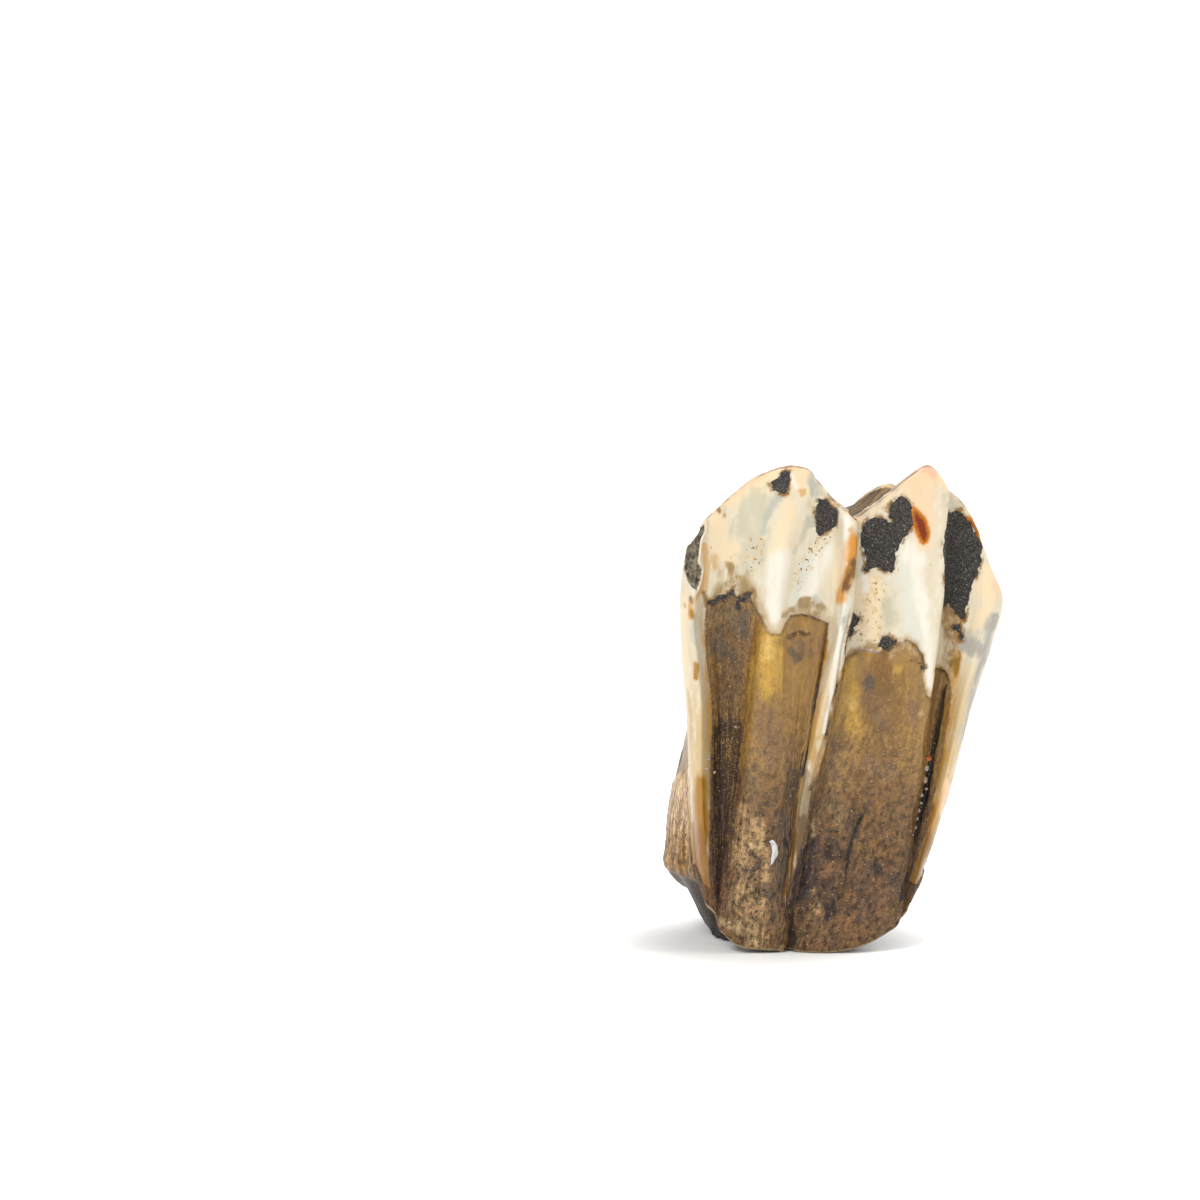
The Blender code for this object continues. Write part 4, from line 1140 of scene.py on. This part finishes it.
RUSTS = (
    ((7.4, 44.3), (8.2, 43.7), (8.9, 42.9), (9.3, 41.4), (9.1, 40.6), (8.6, 40.3), (8.2, 40.6), (7.7, 41.8),
     (7.4, 42.6)),
    ((12.7, 43.2), (13.6, 42.8), (14.1, 41.9), (14.3, 40.8), (13.8, 41.0), (13.2, 41.7)),
)
CRUST_DEPTH = 0.06
CRUST_RELIEF = 0.05
PATCH_START = 0.42
crust = deepest(CRUSTS)
rust = deepest(RUSTS)

# Away from the outer wall and the plate there is a scab wherever a noise is above PATCH_START.
elsewhere = ~on_outer
elsewhere[crown_rows] = False
patches = rough(skin, (4.0, 4.0, 5.5), shift=3.0)
crust[elsewhere] = np.minimum((patches[elsewhere] - PATCH_START) * 4.0, -1.0 - plate[elsewhere] * 4)
painted["crust"] = crust
painted["rust"] = rust
relief += smoothstep(-0.05, 0.12, crust) * (CRUST_RELIEF * rough(skin, 0.35) - CRUST_DEPTH)


def crust_shader():
    """Grainy black mineral with bright specks, partly pale grains and partly painted glints."""
    colour = finish.blend(finish.step(grit_noise, 0.42, 0.68), srgb(47, 43, 37), srgb(100, 93, 82))
    grains_and_glints = finish.step(finish.noise(place, 7.0, detail=1.0), 0.66, 0.74)
    colour = finish.blend(grains_and_glints * 0.9, colour, srgb(190, 186, 176))
    return finish.add("ShaderNodeBsdfPrincipled", None, {
        "Base Color": colour,
        "Roughness": 0.55 - grains_and_glints * 0.3,
        "Normal": finish.bump(grit_noise, 0.3),
    })


def rust_shader():
    """Rust stain: dark in the middle, amber at its edges."""
    depth = finish.value("rust") + (fine - 0.5) * 0.4
    colour = finish.blend(finish.step(depth, 0.05, 0.5), srgb(202, 126, 14), srgb(128, 62, 8))
    return finish.add("ShaderNodeBsdfPrincipled", None, {
        "Base Color": colour,
        "Roughness": 0.4,
        "Specular IOR Level": 0.15,
        "Coat Weight": 0.05,
        "Normal": finish.bump(fine, 0.1),
    })


# The whole tooth. Dentine, enamel, cement and crust are one grown piece, so they share one
# closed skin, and each shows where it lies at the surface. It rests loose on its broken root.
wobble = (fine - 0.5) * 0.25
bare = finish.step(finish.value("enamel_ridge") + wobble, -0.1, 0.1)
body = finish.mix_shader(bare, dentine_look, enamel_look)
covered = finish.step(finish.value("cement") + wobble * 0.8, -0.14, 0.1)
body = finish.mix_shader(covered, body, cement_look)
body = finish.mix_shader(finish.step(finish.value("rust") + wobble, -0.15, 0.15), body, rust_shader())
ragged = finish.value("crust") + wobble + (finish.noise(place, 1.7, detail=3.0) - 0.5) * 0.7
body = finish.mix_shader(finish.step(ragged, -0.03, 0.08), body, crust_shader())
finish.add("ShaderNodeOutputMaterial", None, {"Surface": body})

# The relief fades at the foot, so that the wall and the root meet cleanly, and nothing sinks
# below the flat. The tooth then stands in the middle of the solids' box.
relief[wall_rows] *= smoothstep(-0.3, 1.2, above_foot[wall_rows])
relief[root_rows] *= smoothstep(-1.0, 7.0, len(root) - 1.0 - np.arange(len(root)))[:, None]
shaped = skin + outward(skin) * relief[:, :, None]
shaped[:, :, 2] = np.maximum(shaped[:, :, 2], 0.0)
cad_middle = (np.array(cad_box[0]) + np.array(cad_box[1])) / 2 / MM
middle = (shaped.min(axis=(0, 1)) + shaped.max(axis=(0, 1))) / 2
centring = np.array((cad_middle[0] - middle[0], cad_middle[1] - middle[1], 0.0))
shaped += centring


def skin_mesh(name, points):
    """A closed mesh over a grid of loops, with a fan of triangles at each end."""
    loops, columns = points.shape[:2]
    ids = np.arange(loops * columns).reshape(loops, columns)
    after = np.roll(ids, -1, axis=1)
    quads = np.stack((ids[:-1], after[:-1], after[1:], ids[1:]), axis=2).reshape(-1, 4)
    first, last = loops * columns, loops * columns + 1
    faces = quads.tolist()
    faces += [(first, after[0, i], ids[0, i]) for i in range(columns)]
    faces += [(last, ids[-1, i], after[-1, i]) for i in range(columns)]
    verts = with_ends(points) * MM
    mesh = bpy.data.meshes.new(name)
    mesh.from_pydata(verts.tolist(), [], faces)
    mesh.shade_smooth()
    return mesh


def with_ends(values):
    """The values of a grid in one row, with the means of its first and last loops at the end."""
    flat = values.reshape(-1, *values.shape[2:])
    return np.concatenate((flat, [values[0].mean(axis=0)], [values[-1].mean(axis=0)]))


tooth_mesh = skin_mesh("fossil_tooth", shaped)
for name, values in painted.items():
    layer = tooth_mesh.attributes.new(name, "FLOAT", "POINT")
    layer.data.foreach_set("value", with_ends(values).astype(np.float32))
layer = tooth_mesh.attributes.new("grain", "FLOAT_VECTOR", "POINT")
layer.data.foreach_set("vector", with_ends(grain).astype(np.float32).ravel())

tooth = bpy.data.objects.new("fossil_tooth", tooth_mesh)
bpy.context.scene.collection.objects.link(tooth)
tooth_mesh.materials.append(finish.material)
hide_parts("tooth")
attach(tooth, "root")

# Grit. Loose grains of pale sand and one orange chip, washed into the right-hand groove of the
# outer wall and stuck in its dirt, with a few more in the left-hand groove. Each row has a
# grain's place, its radius, and its shade from pale to orange.
GRAINS = (
    (9.4, -8.7, 19.3, 0.41, 1.0),
    (9.2, -8.7, 18.3, 0.33, 0.0),
    (9.1, -8.7, 17.1, 0.29, 0.25),
    (9.3, -8.6, 16.2, 0.17, 0.0),
    (8.8, -8.7, 15.6, 0.21, 0.1),
    (8.5, -8.7, 14.1, 0.23, 0.3),
    (8.8, -8.7, 14.8, 0.16, 0.0),
    (8.2, -8.7, 12.4, 0.19, 0.1),
    (8.4, -8.8, 13.3, 0.15, 0.4),
    (7.9, -9.0, 11.7, 0.17, 0.0),
    (7.6, -9.2, 10.6, 0.16, 0.2),
    (7.4, -9.2, 9.4, 0.15, 0.0),
    (-12.1, -9.9, 19.3, 0.18, 0.0),
    (-12.3, -10.2, 18.4, 0.13, 0.1),
    (-11.5, -9.0, 17.9, 0.12, 0.0),
    (-9.4, -8.6, 22.3, 0.13, 0.2),
    (-11.1, -8.6, 16.0, 0.12, 0.1),
    (-9.1, -8.8, 20.8, 0.12, 0.3),
)


def grain_mesh():
    """All the grains as one mesh of lumpy pebbles, each with its own shade."""
    lumps = bmesh.new()
    shades = []
    for number, (x, y, z, radius, shade) in enumerate(GRAINS):
        made = bmesh.ops.create_icosphere(lumps, subdivisions=3, radius=1.0)["verts"]
        points = np.array([vert.co for vert in made])
        lumpy = 1 + 0.3 * rough(points, 0.9, shift=3.0 * number)
        points *= lumpy[:, None] * radius * np.array((1.0, 0.7, 0.85 + 0.15 * (number % 3)))
        for vert, point in zip(made, points + (x, y, z) + centring):
            vert.co = point * MM
        shades += [shade] * len(made)
    mesh = bpy.data.meshes.new("grit")
    lumps.to_mesh(mesh)
    mesh.shade_smooth()
    mesh.attributes.new("shade", "FLOAT", "POINT").data.foreach_set("value", shades)
    return mesh


grit_finish = Finish("grit")
grit_place = grit_finish.add("ShaderNodeTexCoord", output="Object")
grit_place = grit_finish.stretched(grit_place, (1 / MM, 1 / MM, 1 / MM))
grit_grain = grit_finish.noise(grit_place, 4.0, detail=4.0)
grit_colour = grit_finish.blend(grit_finish.value("shade"), srgb(192, 184, 164), srgb(206, 116, 44))
grit_colour = grit_finish.blend(grit_finish.step(grit_grain, 0.5, 0.7) * 0.7, grit_colour, srgb(96, 82, 64))
grit_look = grit_finish.add("ShaderNodeBsdfPrincipled", None, {
    "Base Color": grit_colour,
    "Roughness": 0.5,
    "Normal": grit_finish.bump(grit_grain, 0.1),
})
grit_finish.add("ShaderNodeOutputMaterial", None, {"Surface": grit_look})
grit = bpy.data.objects.new("grit", grain_mesh())
bpy.context.scene.collection.objects.link(grit)
grit.data.materials.append(grit_finish.material)
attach(grit, "root")

# The studio. A matt white floor curves up into a white wall all round, under a soft sky, with a
# large lamp at the upper left and a weaker one at the right. The floor glows a little, and its
# colour and glow are darker close to the tooth: a painted shadow.
SWEEP_PROFILE = (
    (0.0, 0.0), (0.4, 0.0), (0.8, 0.0), (1.1, 0.03), (1.3, 0.12), (1.42, 0.3), (1.45, 0.6), (1.45, 1.3),
)
SWEEP_SIDES = 96
PAINTED_SHADOW_MIDDLE = (-7 * MM, -5 * MM, 0.0)
PAINTED_SHADOW_INNER = 7 * MM
PAINTED_SHADOW_OUTER = 22 * MM


def sweep_mesh():
    """The floor and its wall, as a profile turned about the vertical."""
    angles = [2 * math.pi * i / SWEEP_SIDES for i in range(SWEEP_SIDES)]
    verts = [(r * math.cos(a), r * math.sin(a), z) for r, z in SWEEP_PROFILE for a in angles]
    faces = []
    for ring in range(len(SWEEP_PROFILE) - 1):
        for side in range(SWEEP_SIDES):
            near, far = ring * SWEEP_SIDES, (ring + 1) * SWEEP_SIDES
            after = (side + 1) % SWEEP_SIDES
            faces.append((near + side, far + side, far + after, near + after))
    mesh = bpy.data.meshes.new("floor")
    mesh.from_pydata(verts, [], faces)
    mesh.shade_smooth()
    return mesh


floor = bpy.data.objects.new("floor", sweep_mesh())
bpy.context.scene.collection.objects.link(floor)
floor_finish = Finish("floor")
floor_place = floor_finish.add("ShaderNodeTexCoord", output="Object")
from_tooth = floor_finish.add("ShaderNodeVectorMath", {"operation": "DISTANCE"},
                              {0: floor_place, 1: PAINTED_SHADOW_MIDDLE}, output="Value")
# A painted shadow: nearer the tooth the floor's colour and glow are darker.
outside_painted_shadow = floor_finish.step(from_tooth, PAINTED_SHADOW_INNER, PAINTED_SHADOW_OUTER)
floor_look = floor_finish.add("ShaderNodeBsdfPrincipled", None, {
    "Base Color": floor_finish.blend(outside_painted_shadow, (0.62, 0.61, 0.59, 1.0), (0.9, 0.9, 0.9, 1.0)),
    "Roughness": 0.9,
    "Specular IOR Level": 0.0,
    "Emission Color": floor_finish.blend(outside_painted_shadow, (0.02, 0.02, 0.02, 1.0), (1.0, 1.0, 1.0, 1.0)),
    "Emission Strength": 0.36,
})
floor_finish.add("ShaderNodeOutputMaterial", None, {"Surface": floor_look})
floor.data.materials.append(floor_finish.material)

world = bpy.data.worlds.new("soft sky")
world.use_nodes = True
world.node_tree.nodes["Background"].inputs["Color"].default_value = (1.0, 1.0, 1.0, 1.0)
world.node_tree.nodes["Background"].inputs["Strength"].default_value = 0.5
bpy.context.scene.world = world


def soft_lamp(name, place_m, aim_m, size_m, watts):
    """A square area lamp that faces a point."""
    data = bpy.data.lights.new(name, "AREA")
    data.size = size_m
    data.energy = watts
    lamp = bpy.data.objects.new(name, data)
    lamp.location = place_m
    lamp.rotation_euler = (Vector(aim_m) - Vector(place_m)).to_track_quat("-Z", "Y").to_euler()
    bpy.context.scene.collection.objects.link(lamp)


soft_lamp("upper left lamp", (-0.24, -0.4, 0.42), (0.0, 0.0, 0.02), 0.2, 3.2)
soft_lamp("right lamp", (0.45, -0.05, 0.45), (0.0, 0.0, 0.02), 0.3, 2.2)

# The camera. It stands a little above the crown, in front of the outer wall, and sees the tooth
# right of the middle of its frame.
CAMERA_DISTANCE = 324.0
CAMERA_PITCH = math.radians(5.0)
AIM = (-22.7, -10.0, 34.9)
camera_data = bpy.data.cameras.new("camera")
camera_data.lens = 100.0
camera_data.sensor_width = 36.0
camera = bpy.data.objects.new("camera", camera_data)
camera.location = (
    (AIM[0] + centring[0]) * MM,
    (AIM[1] - CAMERA_DISTANCE * math.cos(CAMERA_PITCH)) * MM,
    (AIM[2] + CAMERA_DISTANCE * math.sin(CAMERA_PITCH)) * MM,
)
camera.rotation_euler = (math.pi / 2 - CAMERA_PITCH, 0.0, 0.0)
bpy.context.scene.collection.objects.link(camera)
bpy.context.scene.camera = camera
bpy.context.scene.view_settings.view_transform = "Standard"
